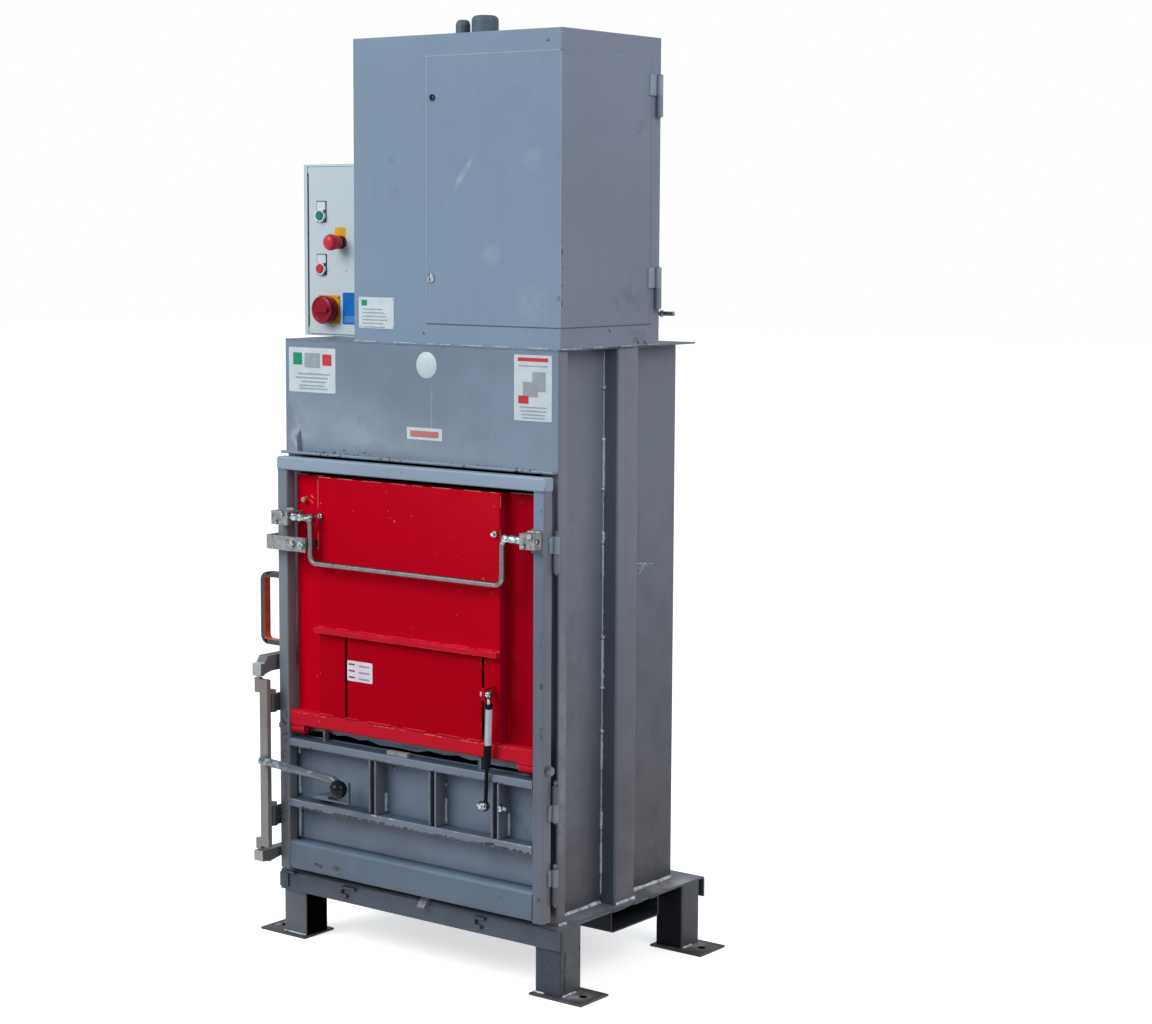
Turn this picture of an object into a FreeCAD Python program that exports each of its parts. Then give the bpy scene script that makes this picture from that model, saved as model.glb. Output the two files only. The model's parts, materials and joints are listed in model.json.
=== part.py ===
"""Upright recycling baler: welded press chamber, hinged door with a tipping red flap,
sheet-metal hood over a hydraulic cylinder and a wall-mounted control box.

Frame: origin on the floor at the centre of the four anchor holes, +X to the right,
+Y to the back (the doors face -Y), +Z up. Millimetres.
"""
import FreeCAD, Part
import math
import os
import Sketcher

PARTS_FOLDER = "parts"
doc = FreeCAD.newDocument("recycling_baler")


# ---------------------------------------------------------------- driving dimensions
DIMENSIONS = {
    # stand and platform
    "platform_half_width": 418, "platform_front": -277, "platform_back": 288,
    "platform_top": 160, "platform_lip": 49, "platform_plate": 5, "bend_radius": 8,
    "leg_side": 75, "leg_wall": 4, "leg_centre_x": 380.5, "leg_centre_y": 231,
    "foot_plate_thick": 5, "foot_plate_inner": 338, "foot_plate_outer": 482,
    "foot_plate_half_depth": 51, "anchor_x": 450, "anchor_radius": 9,
    "fork_front": -86, "fork_back": 100, "fork_bottom": 107, "fork_wall": 4,
    # press chamber
    "body_half_width": 400, "body_front": -265, "body_back": 230, "body_top": 1421,
    "side_recess": 40, "wall_plate": 4, "post_depth": 32, "roof_back": 250,
    "header_bottom": 1160, "header_lip": 16,
    "stiffener_front": -47, "stiffener_back": 30, "stiffener_plate": 5,
    # main door
    "door_left": -387, "door_right": 398, "door_front": -310, "door_back": -280,
    "door_bottom": 175, "door_top": 1150, "frame_tube": 30, "tube_wall": 3,
    "tube_corner": 4, "bottom_rail_height": 68, "panel_front": -273,
    "upper_ledge_bottom": 470, "lower_ledge_bottom": 325, "ledge_height": 20,
    "guide_first_x": -96, "guide_pitch": 180, "guide_width": 22, "guide_plate": 5,
    "strap_slot": 10,
    # flap in the door
    "flap_axis_y": -292, "flap_axis_z": 513, "flap_left": -355, "flap_right": 366,
    "flap_bottom": 526, "flap_top": 1109, "flap_face": -276, "flap_plate": 3,
    "cover_left": -264, "cover_right": 276, "cover_front": -306,
    "beam_bottom": 522, "beam_height": 35, "flap_slot_left": -178, "flap_slot_right": 227,
    "flap_slot_width": 8, "flap_rib_bottom": 750,
    # bail handle on the flap
    "bail_y": -331, "bail_z": 1016, "bail_drop": 103, "bail_left": -263,
    "bail_right": 300, "rod_radius": 6.25, "bail_bend": 18,
    # gas strut
    "strut_top_x": 268, "strut_top_y": -335, "strut_top_z": 672,
    "strut_low_x": 240, "strut_low_y": -312, "strut_low_z": 415,
    # door lock
    "lock_axis_x": -390, "lock_axis_y": -331, "lock_front": -357, "lock_bottom": 231,
    "lock_top": 630, "lock_width": 25, "lock_thick": 12,
    "keeper_left": -428, "keeper_front": -357,
    # hood over the hydraulics
    "hood_left": -187, "hood_right": 405, "hood_front": -263, "hood_back": 100,
    "hood_top": 2097, "hood_sheet": 2, "hatch_left": 30, "hatch_bottom": 1467,
    "hatch_top": 2050, "hatch_rear": 65, "hatch_gap": 0.8,
    "hood_hinge_x": 414, "hood_hinge_y": 82,
    # hydraulics
    "press_y": -22, "barrel_radius": 35, "bore_radius": 25, "piston_rod_radius": 18,
    "rod_clearance": 0.05, "platen_bottom": 1300, "platen_half_width": 346,
    "platen_front": -252, "platen_back": 216,
    # control box
    "box_left": -495, "box_right": -192, "box_front": -100, "box_back": 50,
    "box_top": 1826, "box_rim": 12, "box_rim_top": 5, "box_rim_bottom": 4,
    "box_door_left": -474, "box_door_right": -205,
    "box_door_front": -104, "box_hinge_x": -478, "box_hinge_y": -99,
    "button_x": -432.5, "green_z": 1705, "red_z": 1580, "stop_x": -369.5, "stop_z": 1643,
    "switch_x": -409.5, "switch_z": 1484,
}

sheet = doc.addObject("Spreadsheet::Sheet", "Dimensions")
for row, (alias, value) in enumerate(DIMENSIONS.items(), start=1):
    sheet.set(f"A{row}", alias.replace("_", " "))
    sheet.set(f"B{row}", str(value))
    sheet.setAlias(f"B{row}", alias)
doc.recompute()


class Size:
    """A length that knows its value now and its formula over the sheet's cells."""

    def __init__(self, value, formula):
        self.value = float(value)
        self.formula = formula

    def __add__(self, other):
        other = as_size(other)
        return Size(self.value + other.value, f"({self.formula} + {other.formula})")

    def __sub__(self, other):
        other = as_size(other)
        return Size(self.value - other.value, f"({self.formula} - {other.formula})")

    def __mul__(self, factor):
        return Size(self.value * factor, f"({self.formula} * {factor})")

    def __truediv__(self, divisor):
        return Size(self.value / divisor, f"({self.formula} / {divisor})")

    def __neg__(self):
        return Size(-self.value, f"(0 - {self.formula})")

    def __radd__(self, other):
        return as_size(other) + self

    def __rsub__(self, other):
        return as_size(other) - self


def as_size(number):
    return number if isinstance(number, Size) else Size(number, f"({float(number):.6g})")


def dim(alias):
    return Size(sheet.get(alias), f"Dimensions.{alias}")


def bind(thing, prop, length):
    """Tie one property of an object to a formula over the sheet."""
    thing.setExpression(prop, as_size(length).formula)


def place(thing, x=0, y=0, z=0):
    for axis, length in (("x", x), ("y", y), ("z", z)):
        bind(thing, f"Placement.Base.{axis}", length)
    return thing


# ---------------------------------------------------------------- construction helpers
def block(name, low, high):
    """A box between two corners."""
    box = doc.addObject("Part::Box", name)
    for prop, a, b in zip(("Length", "Width", "Height"), low, high):
        bind(box, prop, as_size(b) - a)
    return place(box, *low)


TURNS = {"x": FreeCAD.Rotation(FreeCAD.Vector(0, 1, 0), 90),
         "y": FreeCAD.Rotation(FreeCAD.Vector(1, 0, 0), -90),
         "z": FreeCAD.Rotation()}


def rod(name, axis, centre, radius, length):
    """A round bar that starts at centre and runs along +axis."""
    bar = doc.addObject("Part::Cylinder", name)
    bind(bar, "Radius", radius)
    bind(bar, "Height", length)
    bar.Placement = FreeCAD.Placement(FreeCAD.Vector(), TURNS[axis])
    return place(bar, *centre)


def hexagon(name, axis, centre, across_flats, length):
    prism_object = doc.addObject("Part::Prism", name)
    prism_object.Polygon = 6
    bind(prism_object, "Circumradius", as_size(across_flats) / math.sqrt(3))
    bind(prism_object, "Height", length)
    prism_object.Placement = FreeCAD.Placement(FreeCAD.Vector(), TURNS[axis])
    return place(prism_object, *centre)


def ball(name, centre, radius):
    sphere = doc.addObject("Part::Sphere", name)
    bind(sphere, "Radius", radius)
    return place(sphere, *centre)


def fuse(name, *pieces):
    union = doc.addObject("Part::MultiFuse", name)
    union.Shapes = list(pieces)
    return union


def cut(name, base, *tools):
    tool = tools[0] if len(tools) == 1 else fuse(name + "_cutter", *tools)
    result = doc.addObject("Part::Cut", name)
    result.Base = base
    result.Tool = tool
    return result


def group(name, *pieces):
    """Separate solids that share one sub-part, such as a set of bolts."""
    compound = doc.addObject("Part::Compound", name)
    compound.Links = list(pieces)
    return compound


PLANE_AXES = {"XY": ("x", "y", "z"), "XZ": ("x", "z", "y"), "YZ": ("y", "z", "x")}


def start_body(name, plane):
    body = doc.addObject("PartDesign::Body", name)
    sketch = body.newObject("Sketcher::SketchObject", name + "_sketch")
    origin = [f for f in body.Origin.OriginFeatures if f.Role == plane + "_Plane"][0]
    sketch.AttachmentSupport = [(origin, "")]
    sketch.MapMode = "FlatFace"
    return body, sketch


def fix_coordinate(sketch, geometry, point, direction, length):
    """Dimension one coordinate of a sketch point from the sketch's origin."""
    value = as_size(length)
    index = sketch.addConstraint(
        Sketcher.Constraint(f"Distance{direction}", -1, 1, geometry, point, value.value))
    sketch.setExpression(f"Constraints[{index}]", value.formula)


def fix_radius(sketch, geometry, radius):
    value = as_size(radius)
    index = sketch.addConstraint(Sketcher.Constraint("Radius", geometry, value.value))
    sketch.setExpression(f"Constraints[{index}]", value.formula)


def draw_polygon(sketch, points):
    """A closed outline with sharp corners, each corner dimensioned from the origin."""
    corners = [FreeCAD.Vector(as_size(x).value, as_size(y).value, 0) for x, y in points]
    lines = [sketch.addGeometry(Part.LineSegment(a, b), False)
             for a, b in zip(corners, corners[1:] + corners[:1])]
    for line, following in zip(lines, lines[1:] + lines[:1]):
        sketch.addConstraint(Sketcher.Constraint("Coincident", line, 2, following, 1))
    for line, (x, y) in zip(lines, points):
        fix_coordinate(sketch, line, 1, "X", x)
        fix_coordinate(sketch, line, 1, "Y", y)


def draw_square_path(sketch, points, radii, closed):
    """Lines along X and Y only, with tangent arcs of the given radii at the corners."""
    corners = [FreeCAD.Vector(as_size(x).value, as_size(y).value, 0) for x, y in points]
    count = len(corners)
    sides = count if closed else count - 1
    trims = [as_size(r).value for r in radii]
    if not closed:
        trims[0] = trims[-1] = 0.0
    lines = []
    for i in range(sides):
        a, b = corners[i], corners[(i + 1) % count]
        along = (b - a).normalize()
        start, end = a + along * trims[i], b - along * trims[(i + 1) % count]
        line = sketch.addGeometry(Part.LineSegment(start, end), False)
        level = abs(along.x) > abs(along.y)
        sketch.addConstraint(Sketcher.Constraint("Horizontal" if level else "Vertical", line))
        fix_coordinate(sketch, line, 1, "Y" if level else "X", points[i][1 if level else 0])
        lines.append((line, along, level))
    for i in range(sides if closed else sides - 1):
        (line, along, _), (following, onward, _) = lines[i], lines[(i + 1) % sides]
        corner, radius = corners[(i + 1) % count], trims[(i + 1) % count]
        if radius == 0.0:
            sketch.addConstraint(Sketcher.Constraint("Coincident", line, 2, following, 1))
            continue
        centre = corner - along * radius + onward * radius
        left_turn = along.x * onward.y - along.y * onward.x > 0
        first, last = corner - along * radius, corner + onward * radius
        begin, finish = (first, last) if left_turn else (last, first)
        angle_a = math.atan2(begin.y - centre.y, begin.x - centre.x)
        angle_b = math.atan2(finish.y - centre.y, finish.x - centre.x)
        circle = Part.Circle(centre, FreeCAD.Vector(0, 0, 1), radius)
        arc = sketch.addGeometry(Part.ArcOfCircle(circle, angle_a, angle_b), False)
        into, out_of = (1, 2) if left_turn else (2, 1)
        sketch.addConstraint(Sketcher.Constraint("Tangent", line, 2, arc, into))
        sketch.addConstraint(Sketcher.Constraint("Tangent", arc, out_of, following, 1))
        fix_radius(sketch, arc, radii[(i + 1) % count])
    if not closed:
        level = lines[0][2]
        fix_coordinate(sketch, lines[0][0], 1, "X" if level else "Y", points[0][0 if level else 1])
        level = lines[-1][2]
        fix_coordinate(sketch, lines[-1][0], 2, "X" if level else "Y", points[-1][0 if level else 1])


def draw_rectangle(sketch, low, high, radius=0):
    points = [low, (high[0], low[1]), high, (low[0], high[1])]
    draw_square_path(sketch, points, [radius] * 4, True)


def draw_circle(sketch, centre, radius):
    middle = FreeCAD.Vector(as_size(centre[0]).value, as_size(centre[1]).value, 0)
    circle = sketch.addGeometry(
        Part.Circle(middle, FreeCAD.Vector(0, 0, 1), as_size(radius).value), False)
    fix_coordinate(sketch, circle, 3, "X", centre[0])
    fix_coordinate(sketch, circle, 3, "Y", centre[1])
    fix_radius(sketch, circle, radius)


def pad(body, sketch, plane, start, length):
    """Push a finished sketch along its plane's axis from start, towards +axis."""
    feature = body.newObject("PartDesign::Pad", body.Name + "_pad")
    feature.Profile = sketch
    feature.Reversed = plane == "XZ"
    bind(feature, "Length", length)
    offsets = {PLANE_AXES[plane][2]: start}
    return place(body, **offsets)


def bar(name, plane, points, start, length, radii=None):
    """A prism: a square-cornered or bent outline pushed along the plane's axis."""
    body, sketch = start_body(name, plane)
    if radii is None:
        draw_polygon(sketch, points)
    else:
        draw_square_path(sketch, points, radii, True)
    return pad(body, sketch, plane, start, length)


def tube(name, plane, low, high, wall, corner, start, length, inner_corner=0):
    """A rectangular hollow section with rounded corners."""
    body, sketch = start_body(name, plane)
    draw_rectangle(sketch, low, high, corner)
    inner_low = tuple(as_size(v) + wall for v in low)
    inner_high = tuple(as_size(v) - wall for v in high)
    draw_rectangle(sketch, inner_low, inner_high, inner_corner)
    return pad(body, sketch, plane, start, length)


def plate(name, plane, low, high, start, thick, holes=()):
    """A flat plate with round holes given as (centre, radius)."""
    body, sketch = start_body(name, plane)
    draw_rectangle(sketch, low, high)
    for centre, radius in holes:
        draw_circle(sketch, centre, radius)
    return pad(body, sketch, plane, start, thick)


def bent_rod(name, plane, points, bend, radius, level):
    """A round rod bent along square corners in a plane at the given level."""
    body, sketch = start_body(name, plane)
    draw_square_path(sketch, points, [bend] * len(points), False)
    profile = body.newObject("Sketcher::SketchObject", name + "_section")
    profile.AttachmentSupport = [(sketch, "Edge1")]
    profile.MapMode = "NormalToEdge"
    draw_circle(profile, (0, 0), radius)
    pipe = body.newObject("PartDesign::AdditivePipe", name + "_pipe")
    pipe.Profile = profile
    pipe.Spine = sketch
    return place(body, **{PLANE_AXES[plane][2]: level})


def turned(name, axis, centre, outline):
    """A turned piece: half-section given as (radius, distance along the axis)."""
    body, sketch = start_body(name, "XZ")
    draw_polygon(sketch, outline)
    spin = body.newObject("PartDesign::Revolution", name + "_turn")
    spin.Profile = sketch
    spin.ReferenceAxis = (sketch, ["V_Axis"])
    spin.Angle = 360
    body.Placement = FreeCAD.Placement(FreeCAD.Vector(), TURNS[axis])
    return place(body, *centre)


finished = []


def piece(thing, label):
    """Name a finished sub-part; its file takes this name."""
    thing.Label = label
    finished.append(thing)
    return thing


def slanted_rod(name, start, end, radius):
    """A round bar between two points in space."""
    direction = [as_size(b) - a for a, b in zip(start, end)]
    vector = FreeCAD.Vector(*[length.value for length in direction])
    squares = " + ".join(f"{length.formula} * {length.formula}" for length in direction)
    slanted = doc.addObject("Part::Cylinder", name)
    bind(slanted, "Radius", radius)
    bind(slanted, "Height", Size(vector.Length, f"sqrt({squares})"))
    turn = FreeCAD.Rotation(FreeCAD.Vector(0, 0, 1), vector)
    slanted.Placement = FreeCAD.Placement(FreeCAD.Vector(), turn)
    return place(slanted, *start)


def mirrored(side, near, far):
    """The X coordinates near and far on one side of the middle, in rising order."""
    return (as_size(near), as_size(far)) if side > 0 else (-as_size(far), -as_size(near))


SIDES = (("left", -1), ("right", 1))
WALL = dim("wall_plate")
PLATFORM_TOP = dim("platform_top")
BODY_TOP = dim("body_top")
HALF = dim("body_half_width")

# ------------------------------------------------------- stand, platform, fork channel
front, back, thick = dim("platform_front"), dim("platform_back"), dim("platform_plate")
lip_bottom = PLATFORM_TOP - dim("platform_lip")
under = PLATFORM_TOP - thick
bend = dim("bend_radius")
platform_sheet = bar(
    "platform_sheet", "YZ",
    [(front, lip_bottom), (front, PLATFORM_TOP), (back, PLATFORM_TOP), (back, lip_bottom),
     (back - thick, lip_bottom), (back - thick, under), (front + thick, under),
     (front + thick, lip_bottom)],
    -dim("platform_half_width"), dim("platform_half_width") * 2,
    [0, bend, bend, 0, 0, bend - thick, bend - thick, 0])
door_rest = rod("door_rest", "x", (-394, front - 2, PLATFORM_TOP - 3), 4.5, 24)
lip_end = block("lip_end_plate", (-dim("platform_half_width"), front - 4, PLATFORM_TOP - 42),
                (-392, front, PLATFORM_TOP - 8))
HOOK_ROD, HOOK_BEND = 4.5, 8
hooks = [bent_rod(f"lip_hook_{number}", "XZ",
                  [(x + reach, PLATFORM_TOP - 12), (x, PLATFORM_TOP - 12),
                   (x, PLATFORM_TOP - 32), (x + 20, PLATFORM_TOP - 32)],
                  HOOK_BEND, HOOK_ROD, front - HOOK_ROD + 1)
         for number, (x, reach) in enumerate(((-222, 46), (182, 30)), start=1)]
lip_tab = bar("lip_tab", "YZ",
              [(front + 2, 148), (front + 2, 165), (front - 2, 169), (front - 20, 148),
               (front - 17, 145), (front - 3, 161), (front - 3, 148)], 26, 21)
piece(fuse("platform_welded", platform_sheet, door_rest, lip_end, *hooks, lip_tab), "platform")

front, back, wall = dim("fork_front"), dim("fork_back"), dim("fork_wall")
bottom = dim("fork_bottom")
piece(bar("fork_channel_sheet", "YZ",
          [(front, under), (front, bottom), (back, bottom), (back, under),
           (back - wall, under), (back - wall, bottom + wall),
           (front + wall, bottom + wall), (front + wall, under)],
          -dim("platform_half_width"), dim("platform_half_width") * 2,
          [0, 10, 10, 0, 0, 6, 6, 0]), "fork_channel")

feet = []
half_leg = dim("leg_side") / 2
for row, y_side in (("front", -1), ("rear", 1)):
    for hand, side in SIDES:
        leg_x, leg_y = dim("leg_centre_x") * side, dim("leg_centre_y") * y_side
        piece(tube(f"leg_{row}_{hand}_tube", "XY", (leg_x - half_leg, leg_y - half_leg),
                   (leg_x + half_leg, leg_y + half_leg), dim("leg_wall"), 8,
                   dim("foot_plate_thick"), under - dim("foot_plate_thick")),
              f"leg_{row}_{hand}")
        low_x, high_x = mirrored(side, dim("foot_plate_inner"), dim("foot_plate_outer"))
        depth = dim("foot_plate_half_depth")
        feet.append(plate(f"foot_{row}_{hand}", "XY", (low_x, leg_y - depth),
                          (high_x, leg_y + depth), 0, dim("foot_plate_thick"),
                          [((dim("anchor_x") * side, leg_y), dim("anchor_radius"))]))
piece(group("foot_plate_set", *feet), "foot_plates")

# ------------------------------------------------------------------ press chamber
walls_height = BODY_TOP - WALL - PLATFORM_TOP
wall_out = HALF - dim("side_recess")
wall_in = wall_out - WALL
post_front = dim("body_front") + WALL
post_back = post_front + dim("post_depth")
rear = dim("body_back")
piece(bar("chamber_sheet", "XY",
          [(-wall_out, post_back), (-wall_in, post_back), (-wall_in, rear - WALL),
           (wall_in, rear - WALL), (wall_in, post_back), (wall_out, post_back),
           (wall_out, rear), (-wall_out, rear)],
          PLATFORM_TOP, walls_height), "chamber_walls")

posts, stiffeners = [], []
for hand, side in SIDES:
    low_x, high_x = mirrored(side, wall_in, HALF)
    posts.append(tube(f"post_{hand}", "XY", (low_x, post_front), (high_x, post_back),
                      WALL, 5, PLATFORM_TOP, walls_height))
    near, far = wall_out * side, HALF * side
    web = (HALF - dim("stiffener_plate")) * side
    y0, y1 = dim("stiffener_front"), dim("stiffener_back")
    flange = dim("stiffener_plate")
    stiffeners.append(bar(
        f"stiffener_{hand}", "XY",
        [(near, y0), (far, y0), (far, y1), (near, y1), (near, y1 - flange),
         (web, y1 - flange), (web, y0 + flange), (near, y0 + flange)],
        PLATFORM_TOP, walls_height, [0, 7, 7, 0, 0, 2, 2, 0]))
piece(group("post_pair", *posts), "front_posts")
piece(group("stiffener_pair", *stiffeners), "side_stiffeners")

header_front, header_bottom = dim("body_front"), dim("header_bottom")
lip_front = post_front - dim("header_lip") - 5
header_sheet = bar("header_sheet", "YZ",
                   [(post_front, BODY_TOP - WALL), (header_front, BODY_TOP - WALL),
                    (header_front, header_bottom), (lip_front, header_bottom),
                    (lip_front, header_bottom - WALL), (post_front, header_bottom - WALL)],
                   -HALF, HALF * 2)
gusset = bar("header_gusset", "YZ",
             [(header_front, header_bottom), (header_front - 12, header_bottom),
              (header_front - 12, header_bottom + 34), (header_front, header_bottom + 52)],
             -385, 31)
lip_bead = rod("header_bead", "x", (-HALF, lip_front + 1.5, header_bottom - 1.5), 3.5, HALF * 2)
piece(fuse("header_welded", header_sheet, gusset, lip_bead), "front_header")

piece(plate("roof_sheet", "XY", (-HALF, dim("body_front")), (HALF, dim("roof_back")),
            BODY_TOP - WALL, WALL, [((0, dim("press_y")), dim("barrel_radius") + 0.5)]),
      "roof_plate")

keeper_left, keeper_front = dim("keeper_left"), dim("keeper_front")
keeper_width = -HALF - keeper_left
upper_keeper = bar("keeper_upper", "YZ",
                   [(-240, 645), (-322, 645), (keeper_front + 13, 639), (keeper_front + 13, 636),
                    (keeper_front, 636), (keeper_front, 666), (keeper_front + 13, 666),
                    (keeper_front + 24, 682), (-240, 682)],
                   keeper_left, keeper_width)
lower_keeper = bar("keeper_lower", "YZ",
                   [(-240, 219), (keeper_front, 219), (keeper_front, 194),
                    (keeper_front + 14, 192), (keeper_front + 26, 190), (-300, 196), (-240, 204)],
                   keeper_left, keeper_width)
piece(group("keeper_pair", upper_keeper, lower_keeper), "keeper_arms")

# ------------------------------------------------------------- main door hinges
HINGE_X, HINGE_Y = 404, -275
HINGE_HALF = 39.75
DOOR_HINGES = ((944, True), (398, False), (213, True))
body_halves, door_halves, pins = [], [], []
for number, (start, door_on_top) in enumerate(DOOR_HINGES, start=1):
    body_z = start if door_on_top else start + 80 - HINGE_HALF
    door_z = start + 80 - HINGE_HALF if door_on_top else start
    barrel = rod(f"hinge_{number}_body_barrel", "z", (HINGE_X, HINGE_Y, body_z), 7.5, HINGE_HALF)
    web = block(f"hinge_{number}_body_web", (394, HINGE_Y, body_z + 2),
                (402, post_front, body_z + 38))
    bore = rod(f"hinge_{number}_body_bore", "z", (HINGE_X, HINGE_Y, body_z - 1), 4, 42)
    welded = fuse(f"hinge_{number}_body_half", barrel, web)
    body_halves.append(cut(f"hinge_{number}_body_bored", welded, bore))
    barrel = rod(f"hinge_{number}_door_barrel", "z", (HINGE_X, HINGE_Y, door_z), 7.5, HINGE_HALF)
    leaf = block(f"hinge_{number}_door_leaf", (398, -294, door_z + 2), (401, -276, door_z + 38))
    bore = rod(f"hinge_{number}_door_bore", "z", (HINGE_X, HINGE_Y, door_z - 1), 4.05, 42)
    welded = fuse(f"hinge_{number}_door_half", barrel, leaf)
    door_halves.append(cut(f"hinge_{number}_door_bored", welded, bore))
    shank = rod(f"hinge_{number}_shank", "z", (HINGE_X, HINGE_Y, start - 4), 4, 90)
    knob = ball(f"hinge_{number}_knob", (HINGE_X, HINGE_Y, start + 87), 5.6)
    pins.append(fuse(f"hinge_{number}_pin", shank, knob))
piece(group("hinge_body_halves", *body_halves), "door_hinge_seats")
piece(group("hinge_pin_set", *pins), "door_hinge_pins")
piece(group("hinge_door_halves", *door_halves), "door_hinge_leaves")

# --------------------------------------------------------------- hood and its hatch
left, right = dim("hood_left"), dim("hood_right")
front, back, top = dim("hood_front"), dim("hood_back"), dim("hood_top")
sheet_t = dim("hood_sheet")
hatch_left, hatch_rear = dim("hatch_left"), dim("hatch_rear")
hatch_bottom, hatch_top = dim("hatch_bottom"), dim("hatch_top")
gap = dim("hatch_gap")
hood_solid = bar("hood_solid", "XY", [(left, front), (right, front), (right, back), (left, back)],
                 BODY_TOP, top - BODY_TOP, [4, 4, 4, 4])
hood_inside = block("hood_inside", (left + sheet_t, front + sheet_t, BODY_TOP - 1),
                    (right - sheet_t, back - sheet_t, top - sheet_t))
hatch_opening = block("hatch_opening", (hatch_left, front - 9, hatch_bottom),
                      (right + 9, hatch_rear, hatch_top))
cap_opening = rod("cap_opening", "z", (0, dim("press_y"), top - 9), 32, 18)
hood_sheet_metal = cut("hood_sheet_metal", hood_solid, hood_inside, hatch_opening, cap_opening)

axis_x, axis_y = dim("hood_hinge_x"), dim("hood_hinge_y")
HATCH_HALF = 45.75
shell_parts, hatch_parts, hatch_bores = [hood_sheet_metal], [], []
for number, start in enumerate((1501, 1924), start=1):
    barrel = rod(f"hatch_hinge_{number}_fixed", "z", (axis_x, axis_y, start), 7, HATCH_HALF)
    leaf = block(f"hatch_hinge_{number}_seat", (right, axis_y - 2, start),
                 (right + 4, back - 4, start + HATCH_HALF))
    pin = rod(f"hatch_hinge_{number}_pin", "z", (axis_x, axis_y, start - 2), 3, 96)
    shell_parts += [barrel, leaf, pin]
    upper = start + 92 - HATCH_HALF
    hatch_parts.append(rod(f"hatch_hinge_{number}_turning", "z", (axis_x, axis_y, upper),
                           7, HATCH_HALF))
    hatch_parts.append(bar(f"hatch_hinge_{number}_leaf", "XY",
                           [(right, 52), (right + 4, 52), (right + 4, axis_y + 1),
                            (right + 0.6, axis_y + 1), (right + 0.6, 61), (right, 61)],
                           upper, HATCH_HALF))
    hatch_bores.append(rod(f"hatch_hinge_{number}_bore", "z", (axis_x, axis_y, upper - 1),
                           3.05, HATCH_HALF + 2))
shell_parts.append(rod("hood_stud", "x", (378, back + 3, 1490), 5, 64))
shell_parts.append(hexagon("hood_stud_nut", "x", (406, back + 3, 1490), 13, 6))
piece(fuse("hood_welded", *shell_parts), "hood_shell")

hatch_sheet = bar("hatch_sheet", "XY",
                  [(hatch_left + gap, front), (right, front), (right, hatch_rear - gap),
                   (right - sheet_t, hatch_rear - gap), (right - sheet_t, front + sheet_t),
                   (hatch_left + gap, front + sheet_t)],
                  hatch_bottom + gap, hatch_top - hatch_bottom - gap * 2,
                  [0, 4, 0, 0, 2, 0])
HATCH_LOCKS = (("upper", 48, 1961, 7.2), ("lower", 43, 1568, 10.5))
lock_holes = [rod(f"hatch_lock_hole_{name}", "y", (x, front - 5, z), head_radius - 1.6, 12)
              for name, x, z, head_radius in HATCH_LOCKS]
hatch_welded = fuse("hatch_welded", hatch_sheet, *hatch_parts)
piece(cut("hatch_bored", hatch_welded, *hatch_bores, *lock_holes), "hood_hatch")
for name, x, z, head_radius in HATCH_LOCKS:
    head = turned(f"hatch_lock_{name}_head", "y", (x, front - 4, z),
                  [(0, 0), (head_radius - 1.4, 0), (head_radius, 1.4), (head_radius, 3.6), (0, 3.6)])
    stem = rod(f"hatch_lock_{name}_stem", "y", (x, front - 2, z), head_radius - 2, 10)
    tongue = block(f"hatch_lock_{name}_tongue", (x - 4, front + 6, z - 12),
                   (x + 4, front + 9, z + 5))
    slot = block(f"hatch_lock_{name}_slot", (x - 1.5, front - 5, z - head_radius * 0.6),
                 (x + 1.5, front - 2.5, z + head_radius * 0.6))
    turnable = fuse(f"hatch_lock_{name}_turnable", head, stem, tongue)
    piece(cut(f"hatch_lock_{name}_slotted", turnable, slot), f"hatch_lock_{name}")

# --------------------------------------------------------------------- hydraulics
press_y = dim("press_y")
bore_r, barrel_r = dim("bore_radius"), dim("barrel_radius")
rod_r, clear = dim("piston_rod_radius"), dim("rod_clearance")
barrel = turned("press_barrel", "z", (0, press_y, 0),
                [(rod_r + clear, 1400), (barrel_r, 1400), (barrel_r, 2094), (0, 2094),
                 (0, 2088), (bore_r, 2088), (bore_r, 1428), (rod_r + clear, 1428)])
flange_hole = rod("flange_hole", "z", (0, press_y, BODY_TOP - 1), barrel_r - 1, 20)
flange = block("flange_block", (-80, press_y - 80, BODY_TOP), (80, press_y + 80, BODY_TOP + 16))
piece(fuse("barrel_welded", barrel, cut("flange_plate", flange, flange_hole)),
      "press_cylinder")
CAP_RADIUS, CAP_TOP = 31, 2157
cap_outline = [(0, 2094), (CAP_RADIUS, 2094), (CAP_RADIUS, CAP_TOP - 12),
               (CAP_RADIUS - 0.9, CAP_TOP - 7.4), (CAP_RADIUS - 3.5, CAP_TOP - 3.5),
               (CAP_RADIUS - 7.4, CAP_TOP - 0.9), (CAP_RADIUS - 12, CAP_TOP), (0, CAP_TOP)]
piece(turned("cap_turned", "z", (0, press_y, 0), cap_outline), "cylinder_cap")
breather_outline = [(0, 2097), (13, 2097), (13, 2110), (17, 2110), (17, 2137),
                    (16, 2143), (13.5, 2147.5), (9.5, 2150), (0, 2151)]
piece(turned("breather_turned", "z", (-65, press_y, 0), breather_outline), "breather_cap")

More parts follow.
